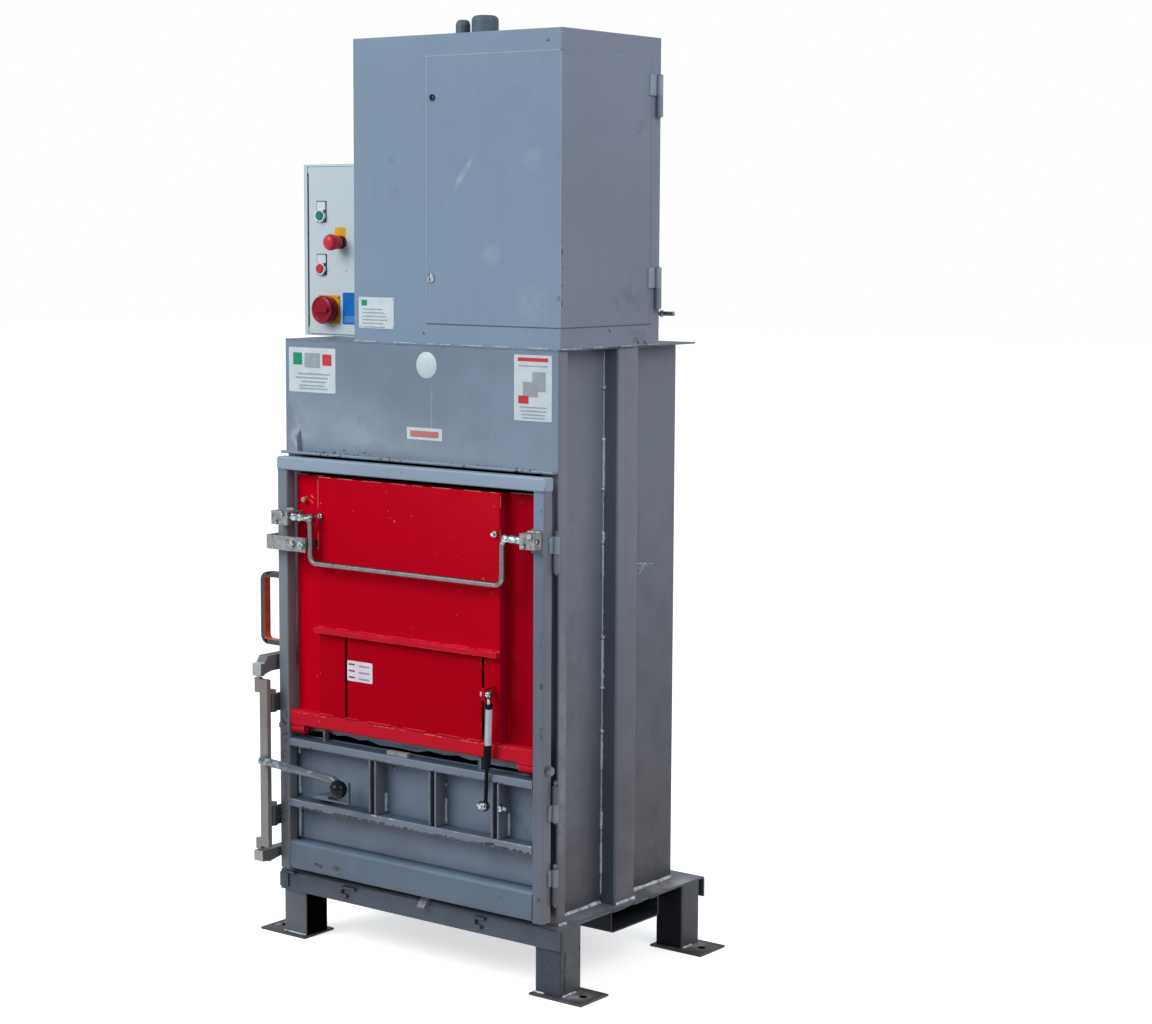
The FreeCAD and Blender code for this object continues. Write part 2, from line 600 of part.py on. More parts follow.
piece(bar("tank_solid", "XY", [(90, -160), (370, -160), (370, 60), (90, 60)],
          BODY_TOP, 219, [14, 14, 14, 14]), "oil_tank")
motor = turned("motor_case", "z", (265, -50, 0),
               [(0, 1640), (52, 1640), (52, 1662), (70, 1662), (70, 1862), (66, 1866),
                (66, 1904), (58, 1910), (0, 1910)])
terminals = block("motor_terminals", (215, -150, 1700), (305, -105, 1772))
valves = block("valve_block", (100, -60, 1640), (160, 10, 1720))
coil = rod("valve_coil", "y", (130, -96, 1690), 17, 36)
piece(fuse("power_pack_joined", motor, terminals, valves, coil), "power_pack")
upper_pipe = bent_rod("pipe_upper", "XZ", [(35, 2050), (130, 2050), (130, 1720)], 40, 8, press_y)
lower_pipe = bent_rod("pipe_lower", "XZ", [(35, 1500), (64, 1500), (64, 1690), (100, 1690)],
                      14, 8, press_y)
piece(group("pipe_pair", upper_pipe, lower_pipe), "oil_pipes")

piston = turned("piston_turned", "z", (0, press_y, 0),
                [(0, 1390), (rod_r, 1390), (rod_r, 2032), (bore_r - 0.4, 2032),
                 (bore_r - 0.4, 2068), (0, 2068)])
piece(piston, "piston_rod")
low, reach = dim("platen_bottom"), dim("platen_half_width")
y0, y1 = dim("platen_front"), dim("platen_back")
platen_parts = [block("platen_plate", (-reach, y0, low), (reach, y1, low + 12)),
                rod("platen_boss", "z", (0, press_y, low + 12), 48, 78)]
for number, y in enumerate((-236, -27, 190), start=1):
    platen_parts.append(block(f"platen_long_rib_{number}", (-reach, y, low + 12),
                              (reach, y + 10, low + 66)))
for number, x in enumerate((-330, -120, 110, 320), start=1):
    platen_parts.append(block(f"platen_cross_rib_{number}", (x, -236, low + 12),
                              (x + 10, 200, low + 66)))
piece(fuse("platen_welded", *platen_parts), "press_platen")

# --------------------------------------------------------------------- main door
door_left, door_right = dim("door_left"), dim("door_right")
door_front, door_back = dim("door_front"), dim("door_back")
door_low, door_top = dim("door_bottom"), dim("door_top")
side, wall, corner = dim("frame_tube"), dim("tube_wall"), dim("tube_corner")
inner_left, inner_right = door_left + side, door_right - side
axis_z = dim("flap_axis_z")
flap_y = dim("flap_axis_y")
PIVOT = 6
for hand, x in (("left", door_left), ("right", inner_right)):
    stile = tube(f"stile_{hand}_tube", "XY", (x, door_front), (x + side, door_back),
                 wall, corner, door_low, door_top - side - door_low)
    hole = rod(f"stile_{hand}_hole", "x", (x - 2, flap_y, axis_z), PIVOT, side + 4)
    bored = cut(f"stile_{hand}_bored", stile, hole)
    if hand == "right":
        latch = block("latch_plate", (x, door_front - 4, 988), (x + side, door_front, 1040))
        bored = fuse("stile_right_with_latch", bored, latch)
    piece(bored, f"door_stile_{hand}")
top_rail = tube("top_rail_tube", "YZ", (door_front, door_top - side), (door_back, door_top),
                wall, corner, door_left, door_right - door_left)
end_plate = bar("top_rail_end", "YZ",
                [(door_front + 1, door_top - side + 1), (door_back - 1, door_top - side + 1),
                 (door_back - 1, door_top - 1), (door_front + 1, door_top - 1)],
                door_right - 1, 3, [4, 4, 4, 4])
far_plate = plate("top_rail_far_end", "YZ", (door_front + 2, door_top - side + 2),
                  (door_back - 2, door_top - 2), door_left, 3,
                  [(((door_front + door_back) / 2, door_top - side / 2), 4)])
piece(fuse("top_rail_welded", top_rail, end_plate, far_plate), "door_top_rail")
RAIL_CORNER = 11
piece(tube("bottom_rail_tube", "YZ", (door_front, door_low),
           (door_back, door_low + dim("bottom_rail_height")),
           wall, RAIL_CORNER, inner_left, inner_right - inner_left, RAIL_CORNER - wall),
      "door_bottom_rail")

face, back_face = dim("panel_front"), dim("panel_front") + WALL
guide_xs = [dim("guide_first_x") + dim("guide_pitch") * i for i in range(3)]
panel_solid = block("panel_solid", (-380, door_back, 180), (380, back_face, 492))
panel_hollow = block("panel_hollow", (-376, door_back - 1, 184), (376, face, 493))
panel_slots = [block(f"panel_slot_{i + 1}", (x - dim("strap_slot") / 2, face - 1, 350),
                     (x + dim("strap_slot") / 2, back_face + 1, 465))
               for i, x in enumerate(guide_xs)]
pressed = cut("panel_pressed", panel_solid, panel_hollow, *panel_slots)
clip_foot = bar("clip_foot", "XZ",
                [(-288, 353), (-240, 353), (-240, 362), (-250, 366), (-270, 364), (-288, 359)],
                face - 30, 30)
clip_strip = bar("clip_strip", "XZ",
                 [(-244, 353), (-176, 353), (-176, 405), (-181, 405), (-181, 357), (-244, 357)],
                 face - 30, 8)
piece(fuse("panel_with_clip", pressed, clip_foot, clip_strip), "lower_panel")

ledges = []
for name, z in (("upper", dim("upper_ledge_bottom")), ("lower", dim("lower_ledge_bottom"))):
    ledges.append(tube(f"ledge_{name}", "YZ", (door_front, z), (face, z + dim("ledge_height")),
                       wall, corner, inner_left, inner_right - inner_left))
piece(group("ledge_pair", *ledges), "door_ledges")

half_guide, flange_t = dim("guide_width") / 2, dim("guide_plate")
for number, x in enumerate(guide_xs, start=1):
    flanges = [block(f"guide_{number}_left", (x - half_guide, door_front, 345),
                     (x - half_guide + flange_t, face, 470)),
               block(f"guide_{number}_right", (x + half_guide - flange_t, door_front, 345),
                     (x + half_guide, face, 470))]
    if number == 3:
        low_y, low_z = dim("strut_low_y") + 9, dim("strut_low_z")
        flanges.append(fuse(
            "strut_anchor",
            hexagon("strut_anchor_nut", "x", (x + half_guide, low_y, low_z), 19, 9),
            rod("strut_anchor_end", "x", (x + half_guide, low_y, low_z), 5.5, 18)))
    piece(group(f"guide_{number}_pair", *flanges), f"strap_guide_{number}")

torch_cut = [(-290, 507), (-262, 510), (-236, 504), (-204, 508), (-166, 503), (-142, 506),
             (-104, 499), (-64, 501), (14, 499), (44, 506), (92, 503), (128, 507), (166, 502),
             (196, 505), (232, 500)]
bar_outline = ([(inner_left, 500)] + torch_cut
               + [(inner_right, 502), (inner_right, 520), (inner_left, 520)])
cross = bar("cross_strip", "XZ", bar_outline, -275, 4)
lugs = [block(f"ledge_lug_{i}", (x, -290, 490), (x + 6, -275, z))
        for i, (x, z) in enumerate(((-266, 518), (202, 514)), start=1)]
buffer = block("buffer_block", (-56, -305, 490), (5, -292, 499))
piece(fuse("cross_welded", cross, *lugs), "cross_bar")
piece(buffer, "buffer_block")

piece(bar("handle_bar", "XZ",
          [(door_left, 703), (door_left - 64, 703), (door_left - 64, 875), (door_left, 875),
           (door_left, 863), (door_left - 52, 863), (door_left - 52, 715), (door_left, 715)],
          -304, 22, [0, 22, 22, 0, 0, 10, 10, 0]), "door_handle")

bolts = []
for hand, x, out in (("left", door_left, -1), ("right", door_right, 1)):
    shank_x = x if out < 0 else inner_right - 50
    bolts.append(fuse(
        f"pivot_bolt_{hand}",
        rod(f"pivot_shank_{hand}", "x", (shank_x, flap_y, axis_z), PIVOT, side + 50),
        rod(f"pivot_washer_{hand}", "x", (x if out > 0 else x - 2, flap_y, axis_z), 13, 2),
        hexagon(f"pivot_head_{hand}", "x", (x + 2 if out > 0 else x - 10, flap_y, axis_z),
                19, 8)))
piece(group("pivot_bolt_pair", *bolts), "flap_pivot_bolts")

# ------------------------------------------------------------------- door lock
axis_x, axis_y = dim("lock_axis_x"), dim("lock_axis_y")
LOCK_BRACKETS = ((551, 593), (279, 325))
brackets, ears = [], []
for number, (z0, z1) in enumerate(LOCK_BRACKETS, start=1):
    lug = block(f"bracket_{number}_lug", (door_left - 6, axis_y, z0), (door_left, -284, z1))
    boss = rod(f"bracket_{number}_boss", "z", (axis_x, axis_y, z0), 11, z1 - z0)
    bore = rod(f"bracket_{number}_bore", "z", (axis_x, axis_y, z0 - 1), 6.05, z1 - z0 + 2)
    brackets.append(cut(f"bracket_{number}_bored", fuse(f"bracket_{number}_welded", lug, boss),
                        bore))
    ears.append(block(f"ear_{number}", (axis_x - 7, dim("lock_front") + 10, z1 + 0.6),
                      (axis_x + 7, axis_y + 7, z1 + 10.6)))
    ears.append(rod(f"ear_pin_{number}", "z", (axis_x, axis_y, z0 + 2), 6, z1 - z0))
piece(group("bracket_pair", *brackets), "lock_brackets")
lock_front, lock_back = dim("lock_front"), dim("lock_front") + dim("lock_thick")
lock_left = axis_x - 15
lock_flat = block("lock_flat", (lock_left, lock_front, dim("lock_bottom")),
                  (lock_left + dim("lock_width"), lock_back, dim("lock_top")))
cams = [block(f"lock_cam_{i}", (lock_left - 16, lock_front, z0), (lock_left, lock_back, z1))
        for i, (z0, z1) in enumerate(((598, 633), (224, 250)), start=1)]
piece(fuse("lock_bar_welded", lock_flat, *cams, *ears), "lock_bar")
lever_y = lock_front - 10
LEVER_RADIUS, LEVER_BEND, RUN_SLOPE, DROP_SLOPE = 9.5, 18, -3.4, -67
bend_centre = (-169.1, lever_y, 409.1)
bend_start, bend_end = [(bend_centre[0] + LEVER_BEND * math.cos(math.radians(slope + 90)), lever_y,
                         bend_centre[2] + LEVER_BEND * math.sin(math.radians(slope + 90)))
                        for slope in (RUN_SLOPE, DROP_SLOPE)]
lever_bend = doc.addObject("Part::Torus", "lever_bend")
bind(lever_bend, "Radius1", LEVER_BEND)
bind(lever_bend, "Radius2", LEVER_RADIUS)
lever_bend.Angle3 = RUN_SLOPE - DROP_SLOPE
lever_bend.Placement = FreeCAD.Placement(
    FreeCAD.Vector(), FreeCAD.Rotation(FreeCAD.Vector(0, 1, 0), -(DROP_SLOPE + 90))
    * FreeCAD.Rotation(FreeCAD.Vector(1, 0, 0), 90))
place(lever_bend, *bend_centre)
tip = (-148.2, lever_y, 406)
lever_parts = [slanted_rod("lever_run", (-392, lever_y, 440.4), bend_start, LEVER_RADIUS),
               lever_bend, slanted_rod("lever_drop", bend_end, tip, LEVER_RADIUS),
               turned("lever_ball", "y", (tip[0], lever_y - 21, tip[2]),
                      [(0, 0), (6.3, 0.9), (12.4, 4), (17.2, 9), (20.2, 15.1), (21, 21),
                       (20.2, 26.9), (17.2, 33), (12.4, 38), (6.3, 41.1), (0, 42)])]
piece(fuse("lever_welded", *lever_parts), "lock_lever")

# -------------------------------------------------------------------- red flap
flap_left, flap_right = dim("flap_left"), dim("flap_right")
flap_low, flap_top = dim("flap_bottom"), dim("flap_top")
flap_face, flap_t = dim("flap_face"), dim("flap_plate")
cover_left, cover_right, cover_front = dim("cover_left"), dim("cover_right"), dim("cover_front")
beam_low = dim("beam_bottom")
beam_top = beam_low + dim("beam_height")
half_slot = dim("flap_slot_width") / 2
slot_xs = (dim("flap_slot_left"), dim("flap_slot_right"))


def strap_slots(name):
    return [block(f"{name}_slot_{i}", (x - half_slot, cover_front - 5, 560),
                  (x + half_slot, flap_face + 9, 748)) for i, x in enumerate(slot_xs, start=1)]


flap_sheet = block("flap_sheet", (flap_left, flap_face, flap_low),
                   (flap_right, flap_face + flap_t, flap_top))
piece(cut("flap_sheet_slotted", flap_sheet, *strap_slots("panel")), "flap_panel")
tray = bar("tray_solid", "XY",
           [(cover_left, cover_front), (cover_right, cover_front), (cover_right, flap_face),
            (cover_left, flap_face)], beam_top, flap_top - beam_top, [6, 6, 0, 0])
tray_hollow = bar("tray_hollow", "XY",
                  [(cover_left + 3, cover_front + 3), (cover_right - 3, cover_front + 3),
                   (cover_right - 3, flap_face + 1), (cover_left + 3, flap_face + 1)],
                  beam_top + 3, flap_top - beam_top - 6, [3, 3, 0, 0])
tray_pressed = cut("tray_pressed", tray, tray_hollow, *strap_slots("tray"))
rib_low = dim("flap_rib_bottom")
rib = block("tray_rib", (cover_left, cover_front - 16, rib_low),
            (cover_right, cover_front, rib_low + 12))
up_x, up_y, up_z = dim("strut_top_x"), dim("strut_top_y"), dim("strut_top_z")
strut_lug = cut("strut_lug_bored",
                block("strut_lug", (256, up_y - 11, 660), (262, cover_front + 1, 686)),
                rod("strut_lug_bore", "x", (255, up_y, up_z), 5, 8))
piece(fuse("tray_welded", tray_pressed, rib, strut_lug), "flap_cover")

beam = tube("beam_tube", "YZ", (cover_front, beam_low), (flap_face, beam_top), wall, corner,
            flap_left, flap_right - flap_left)
eyes, eye_bores = [], []
for name, x0, x1 in (("left", -354, -315), ("right", 323, 365)):
    eyes.append(rod(f"knuckle_{name}", "x", (x0, flap_y, axis_z), 12.5, x1 - x0))
    eye_bores.append(rod(f"knuckle_{name}_bore", "x", (x0 - 1, flap_y, axis_z),
                         PIVOT + 0.05, x1 - x0 + 2))
piece(cut("beam_bored", fuse("beam_welded", beam, *eyes), *eye_bores), "flap_beam")

stop_flat = bar("stop_flat", "XY",
                [(-396, -290), (-396, -340), (-272, -340), (-272, -332), (-388, -332),
                 (-388, -290)],
                937, 33, [0, 4, 0, 0, 0, 0])
stop_parts = [stop_flat]
for number, x in enumerate((-311, -281), start=1):
    stop_parts.append(rod(f"stop_spacer_{number}", "y", (x, -332, 953.5), 9, flap_face + 332))
    stop_parts.append(hexagon(f"stop_bolt_{number}", "y", (x, -347, 953.5), 17, 7))
piece(fuse("stop_bolted", *stop_parts), "stop_bar")

bail_y, bail_z = dim("bail_y"), dim("bail_z")
bearings = []
for name, x0, x1, z0, z1 in (("left", -374, -323, 996, 1028), ("right", 358, 398, 999, 1033)):
    housing = block(f"bearing_{name}", (x0, bail_y - 13, z0), (x1, bail_y + 13, z1))
    web_x = -348 if name == "left" else 353
    web = block(f"bearing_{name}_web", (web_x, bail_y + 13, z0 + 4),
                (web_x + 12, flap_face, z1 - 4))
    bore = rod(f"bearing_{name}_bore", "x", (x0 - 1, bail_y, bail_z),
               dim("rod_radius") + 0.05, x1 - x0 + 2)
    mid = (x0 + x1) / 2
    heads = [hexagon(f"bearing_{name}_bolt_{i}", "y", (mid + shift, bail_y - 18, height), 11, 6)
             for i, (shift, height) in enumerate(((-10, z0 + 6), (10, z1 - 5)), start=1)]
    bearings.append(cut(f"bearing_{name}_bored",
                        fuse(f"bearing_{name}_welded", housing, web, *heads), bore))
piece(group("bearing_pair", *bearings), "bail_bearings")

flap_bolts = [hexagon(f"tray_bolt_{i}", "y", (x, cover_front - 6, 1020), 13, 6)
              for i, x in enumerate((-252, 263), start=1)]
flap_bolts.append(rod("panel_stud", "y", (-327, flap_face - 12, 1051), 6, 12))
flap_bolts.append(fuse(
    "strut_pin",
    rod("strut_pin_shank", "x", (254, up_y, up_z), 5, 20),
    hexagon("strut_pin_nut", "x", (249, up_y, up_z), 15, 7),
    rod("strut_pin_head", "x", (272.6, up_y, up_z), 8, 3.4)))
piece(group("flap_bolt_set", *flap_bolts), "flap_bolts")

bail_left, bail_right = dim("bail_left"), dim("bail_right")
bail_low = bail_z - dim("bail_drop")
bail_path = bent_rod("bail_rod", "XZ",
                     [(-372, bail_z), (bail_left, bail_z), (bail_left, bail_low),
                      (bail_right, bail_low), (bail_right, bail_z), (396, bail_z)],
                     dim("bail_bend"), dim("rod_radius"), bail_y)
sleeves = [turned("bail_sleeve_left", "x", (-321, bail_y, bail_z),
                  [(0, 0), (9.5, 0), (11, 6), (8.6, 17), (10.6, 28), (7.8, 38), (9.4, 50),
                   (11.6, 62), (10.8, 66), (0, 66)]),
           turned("bail_sleeve_right", "x", (304, bail_y, bail_z),
                  [(0, 0), (8.6, 0), (10.4, 6), (8, 14), (10.2, 24), (8.4, 34), (9.8, 44),
                   (8.6, 52), (0, 52)])]
piece(fuse("bail_welded", bail_path, *sleeves), "bail_handle")

# -------------------------------------------------------------------- gas strut
top_point = (up_x, up_y, up_z)
low_point = (dim("strut_low_x"), dim("strut_low_y"), dim("strut_low_z"))
STRUT_ROD = 4.3


def along_strut(fraction):
    return tuple(a + (b - a) * fraction for a, b in zip(top_point, low_point))


top_eye = rod("strut_top_eye", "x", (up_x - 4, up_y, up_z), 9, 8)
neck = slanted_rod("strut_neck", along_strut(0.02), along_strut(0.1), 3.8)
case = slanted_rod("strut_case", along_strut(0.085), along_strut(0.65), 8.5)
case_bore = slanted_rod("strut_case_bore", along_strut(0.13), along_strut(0.66),
                        STRUT_ROD + 0.05)
eye_bore = rod("strut_top_bore", "x", (up_x - 9, up_y, up_z), 5.05, 18)
piece(cut("strut_tube_bored", fuse("strut_tube_joined", top_eye, neck, case),
          case_bore, eye_bore), "strut_tube")
low_x, low_y, low_z = low_point
rod_parts = [slanted_rod("strut_rod_bar", along_strut(0.42), along_strut(0.985), STRUT_ROD),
             rod("strut_low_eye", "x", (low_x - 3, low_y, low_z), 10, 6),
             rod("strut_low_boss", "x", (low_x + 2.5, low_y, low_z), 7, 3.6),
             rod("strut_low_washer", "x", (low_x - 5.5, low_y, low_z), 12, 2.6),
             hexagon("strut_low_nut", "x", (low_x - 14, low_y, low_z), 19, 8.6),
             rod("strut_low_end", "x", (low_x - 21, low_y, low_z), 5.5, 8)]
piece(fuse("strut_rod_joined", *rod_parts), "strut_rod")

# ------------------------------------------------------------------- control box
left, right = dim("box_left"), dim("box_right")
front, back, top = dim("box_front"), dim("box_back"), dim("box_top")
rim = dim("box_rim")
door_l, door_r, door_f = dim("box_door_left"), dim("box_door_right"), dim("box_door_front")
box_solid = bar("box_solid", "XY", [(left, front), (right, front), (right, back), (left, back)],
                BODY_TOP, top - BODY_TOP, [3, 3, 3, 3])
box_inside = block("box_inside", (left + 2, front + 2, BODY_TOP + 2),
                   (right - 2, back - 2, top - 2))
door_r_gap = door_r + 3
rim_low, rim_high = BODY_TOP + dim("box_rim_bottom"), top - dim("box_rim_top")
box_mouth = block("box_mouth", (left + rim, front - 9, rim_low),
                  (door_r_gap, front + 9, rim_high))
axis_x, axis_y = dim("box_hinge_x"), dim("box_hinge_y")
door_z0, door_z1 = rim_low + 1, rim_high - 1
pins = [rod(f"box_pin_{i}", "z", (axis_x, axis_y, z), 1.5, 22)
        for i, z in enumerate((rim_low - 4, rim_high - 18), start=1)]
box_cut = cut("box_sheet_metal", box_solid, box_inside, box_mouth)
piece(fuse("box_welded", box_cut, *pins), "control_box")

door_pan = cut("box_door_pan",
               block("box_door_solid", (door_l, door_f, door_z0), (door_r, door_f + 18, door_z1)),
               block("box_door_hollow", (door_l + 2, door_f + 2, door_z0 + 2),
                     (door_r - 2, door_f + 19, door_z1 - 2)))
button_x, stop_x, stop_z = dim("button_x"), dim("stop_x"), dim("stop_z")
switch_x, switch_z = dim("switch_x"), dim("switch_z")
BUTTONS = (("green", dim("green_z")), ("red", dim("red_z")))
fittings, door_holes, knuckles, knuckle_bores = [], [], [], []
for number, z in enumerate((door_z0 + 2, door_z1 - 14), start=1):
    knuckles.append(rod(f"box_knuckle_{number}", "z", (axis_x, axis_y, z), 3, 12))
    knuckles.append(block(f"box_knuckle_arm_{number}", (axis_x, axis_y - 2, z),
                          (door_l + 1, axis_y + 2, z + 12)))
    knuckle_bores.append(rod(f"box_knuckle_bore_{number}", "z", (axis_x, axis_y, z - 1),
                             1.55, 14))
for name, z in BUTTONS:
    frame_plate = block(f"legend_{name}", (button_x - 15, door_f - 2, z - 15),
                        (button_x + 15, door_f, z + 35))
    bezel = rod(f"bezel_{name}", "y", (button_x, door_f - 9, z), 14.75, 9)
    hole = rod(f"bezel_hole_{name}", "y", (button_x, door_f - 10, z), 11.4, 22)
    fittings.append(cut(f"bezel_set_{name}", fuse(f"bezel_joined_{name}", frame_plate, bezel),
                        hole))
    door_holes.append(rod(f"door_hole_{name}", "y", (button_x, door_f - 5, z), 11.4, 22))
    outline = [(0, 0), (9.5, 0), (11, 1.5), (11, 16), (0, 16)]
    piece(turned(f"button_{name}_turned", "y", (button_x, door_f - 12.5, z), outline),
          f"{name}_button")
collar = rod("stop_collar", "y", (stop_x, door_f - 9, stop_z), 15.5, 9)
collar_hole = rod("stop_collar_hole", "y", (stop_x, door_f - 10, stop_z), 8.4, 24)
fittings.append(cut("stop_collar_bored", collar, collar_hole))
door_holes.append(rod("door_hole_stop", "y", (stop_x, door_f - 5, stop_z), 8.4, 22))
stop_outline = [(0, 0), (8, 0.8), (13.4, 2.8), (17, 6), (19, 11), (19.3, 17), (18.4, 22), (16.6, 25),
                (16, 28), (16, 38.4), (8, 38.4), (8, 60), (0, 60)]
piece(turned("stop_turned", "y", (stop_x, door_f - 52, stop_z), stop_outline), "emergency_stop")
switch_plate = block("switch_plate", (switch_x - 34, door_f - 2, switch_z - 34),
                     (switch_x + 34, door_f, switch_z + 34))
plate_hole = rod("switch_plate_hole", "y", (switch_x, door_f - 5, switch_z), 6.4, 22)
fittings.append(cut("switch_plate_bored", switch_plate, plate_hole))
door_holes.append(rod("door_hole_switch", "y", (switch_x, door_f - 5, switch_z), 6.4, 22))
piece(cut("box_door_bored", fuse("box_door_welded", door_pan, *knuckles),
          *knuckle_bores, *door_holes), "control_door")
piece(group("fitting_set", *fittings), "control_fittings")
knob_disc = turned("knob_disc", "y", (switch_x, door_f - 30, switch_z),
                   [(0, 1.6), (24, 1.6), (25.5, 0), (29.5, 0), (32.4, 1.8), (33.5, 5), (33.5, 15),
                    (31, 27.4), (6, 27.4), (6, 36), (0, 36)])
knob_grip = bar("knob_grip", "XZ",
                [(switch_x - 19, switch_z - 6), (switch_x + 23, switch_z - 6),
                 (switch_x + 23, switch_z + 6), (switch_x - 19, switch_z + 6)],
                door_f - 35, 8, [5, 5, 5, 5])
piece(fuse("knob_joined", knob_disc, knob_grip), "switch_knob")

# ---------------------------------------------------------------- check and write
doc.recompute()
for thing in doc.Objects:
    if "Invalid" in thing.State or "Error" in thing.State:
        raise RuntimeError(f"{thing.Name} did not compute: {thing.State}")
os.makedirs(PARTS_FOLDER, exist_ok=True)
for thing in finished:
    shape = thing.Shape
    if shape.isNull() or not shape.isValid() or shape.Volume <= 0:
        raise RuntimeError(f"{thing.Label} has no valid shape")
    shape.exportStep(os.path.join(PARTS_FOLDER, thing.Label + ".step"))
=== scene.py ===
"""Looks of the recycling baler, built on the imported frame: +X right, +Y back, +Z up, the
doors face -Y. Blender works in metres; places and sizes here are in millimetres unless
they say otherwise."""
import json
import math
import random
from collections import namedtuple
from functools import partial
from itertools import product

import bmesh
import bpy
from mathutils import Matrix, Vector, noise


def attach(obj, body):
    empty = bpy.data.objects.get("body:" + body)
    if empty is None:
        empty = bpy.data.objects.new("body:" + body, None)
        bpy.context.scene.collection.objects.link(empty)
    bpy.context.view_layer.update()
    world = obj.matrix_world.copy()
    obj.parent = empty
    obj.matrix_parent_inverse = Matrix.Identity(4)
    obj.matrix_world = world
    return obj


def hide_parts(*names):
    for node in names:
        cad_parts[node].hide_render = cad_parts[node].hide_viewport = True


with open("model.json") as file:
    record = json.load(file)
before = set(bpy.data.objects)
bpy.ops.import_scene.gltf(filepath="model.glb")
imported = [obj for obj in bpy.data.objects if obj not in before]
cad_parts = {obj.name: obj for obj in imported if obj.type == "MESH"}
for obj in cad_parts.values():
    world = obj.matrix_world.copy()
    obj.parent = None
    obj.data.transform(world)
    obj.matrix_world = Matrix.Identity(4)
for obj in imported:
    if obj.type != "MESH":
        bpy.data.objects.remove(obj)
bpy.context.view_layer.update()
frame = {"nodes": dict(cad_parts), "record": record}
scene = bpy.context.scene
MM = 0.001


def mm(*values):
    return Vector([v * MM for v in values])


def place(name, data):
    """A new object in the scene."""
    obj = bpy.data.objects.new(name, data)
    scene.collection.objects.link(obj)
    return obj


# ------ camera
YAW, PITCH, ROLL = (math.radians(a) for a in (37.07, 6.7, 0.3))
CAMERA_PLACE = (3517.28, -4326.13, 1676.2)
FOCAL_LENGTH, PHOTO_WIDTH = 2406.22, 1152  # pixels
SENSOR_WIDTH = 36
forward = Vector((-math.sin(YAW) * math.cos(PITCH), math.cos(YAW) * math.cos(PITCH),
                  -math.sin(PITCH)))
level_right = Vector((math.cos(YAW), math.sin(YAW), 0))
level_up = level_right.cross(forward)
right = level_right * math.cos(ROLL) + level_up * math.sin(ROLL)
up = level_up * math.cos(ROLL) - level_right * math.sin(ROLL)
camera_data = bpy.data.cameras.new("camera")
camera_data.sensor_width = SENSOR_WIDTH
camera_data.lens = FOCAL_LENGTH / PHOTO_WIDTH * SENSOR_WIDTH
camera_data.clip_end = 100
camera = place("camera", camera_data)
camera.matrix_world = (Matrix.Translation(mm(*CAMERA_PLACE))
                       @ Matrix((right, up, -forward)).transposed().to_4x4())
scene.camera = camera
scene.view_settings.view_transform = "Standard"


# ------ materials
class Graph:
    """A material's node tree, with short calls for the nodes used here."""

    def __init__(self, name):
        self.material = bpy.data.materials.new(name)
        self.material.use_nodes = True
        self.tree = self.material.node_tree
        self.tree.nodes.clear()
        self.out = self.tree.nodes.new("ShaderNodeOutputMaterial")
        self.shader = self.tree.nodes.new("ShaderNodeBsdfPrincipled")
        self.put(self.out.inputs[0], self.shader.outputs[0])
        self.coords = self.node("TexCoord", {}, "Object")

    def put(self, socket, value):
        """Feed a socket from another socket or with a value; a colour has three numbers."""
        if isinstance(value, bpy.types.NodeSocket):
            self.tree.links.new(value, socket)
        else:
            socket.default_value = (*value, 1) if socket.type == "RGBA" else value

    def set(self, **inputs):
        for key, value in inputs.items():
            self.put(self.shader.inputs[key.replace("_", " ")], value)

    def node(self, kind, inputs, output=0, **settings):
        """An output of a new node, with these inputs fed and these settings made."""
        node = self.tree.nodes.new("ShaderNode" + kind)
        for key, value in settings.items():
            setattr(node, key, value)
        for key, value in inputs.items():
            self.put(node.inputs[key], value)
        return node.outputs[output]

    def calc(self, op, a, b):
        return self.node("Math", {0: a, 1: b}, operation=op)

    def times(self, value, *factors):
        for factor in factors:
            value = self.calc("MULTIPLY", value, factor)
        return value

    def mix(self, factor, a, b, blend="MIX"):
        return self.node("Mix", {0: factor, 6: a, 7: b}, 2, data_type="RGBA", blend_type=blend)

    def stretched(self, x, y, z):
        return self.node("Mapping", {"Vector": self.coords, "Scale": (x, y, z)})

    def noise(self, scale, detail, rough, coords=None, distortion=0):
        return self.node("TexNoise", {"Vector": coords or self.coords, "Scale": scale,
                                      "Detail": detail, "Roughness": rough,
                                      "Distortion": distortion})

    def window(self, value, low, high, to_low=0, to_high=1):
        return self.node("MapRange", {0: value, 1: low, 2: high, 3: to_low, 4: to_high},
                         interpolation_type="SMOOTHSTEP")

    def patches(self, scale, detail, rough, low, high, to_low=0, to_high=1, **more):
        """Noise cut to soft-edged patches between two of its levels."""
        return self.window(self.noise(scale, detail, rough, **more), low, high, to_low, to_high)

    def by_height(self, start, end):
        """From 0 at one height to 1 at another, in metres."""
        return self.window(self.node("SeparateXYZ", {0: self.coords}, "Z"), start, end)

    def edges(self):
        """1 on sharp outer edges, 0 on flats, from how far a bevel turns the normal."""
        rounded = self.node("Bevel", {0: 2.2 * MM}, samples=4)
        normal = self.node("NewGeometry", {}, "Normal")
        alike = self.node("VectorMath", {0: rounded, 1: normal}, "Value",
                          operation="DOT_PRODUCT")
        return self.window(alike, 0.995, 0.9)

    def bump(self, height, strength, distance):
        return self.node("Bump", {"Height": height, "Strength": strength, "Distance": distance})


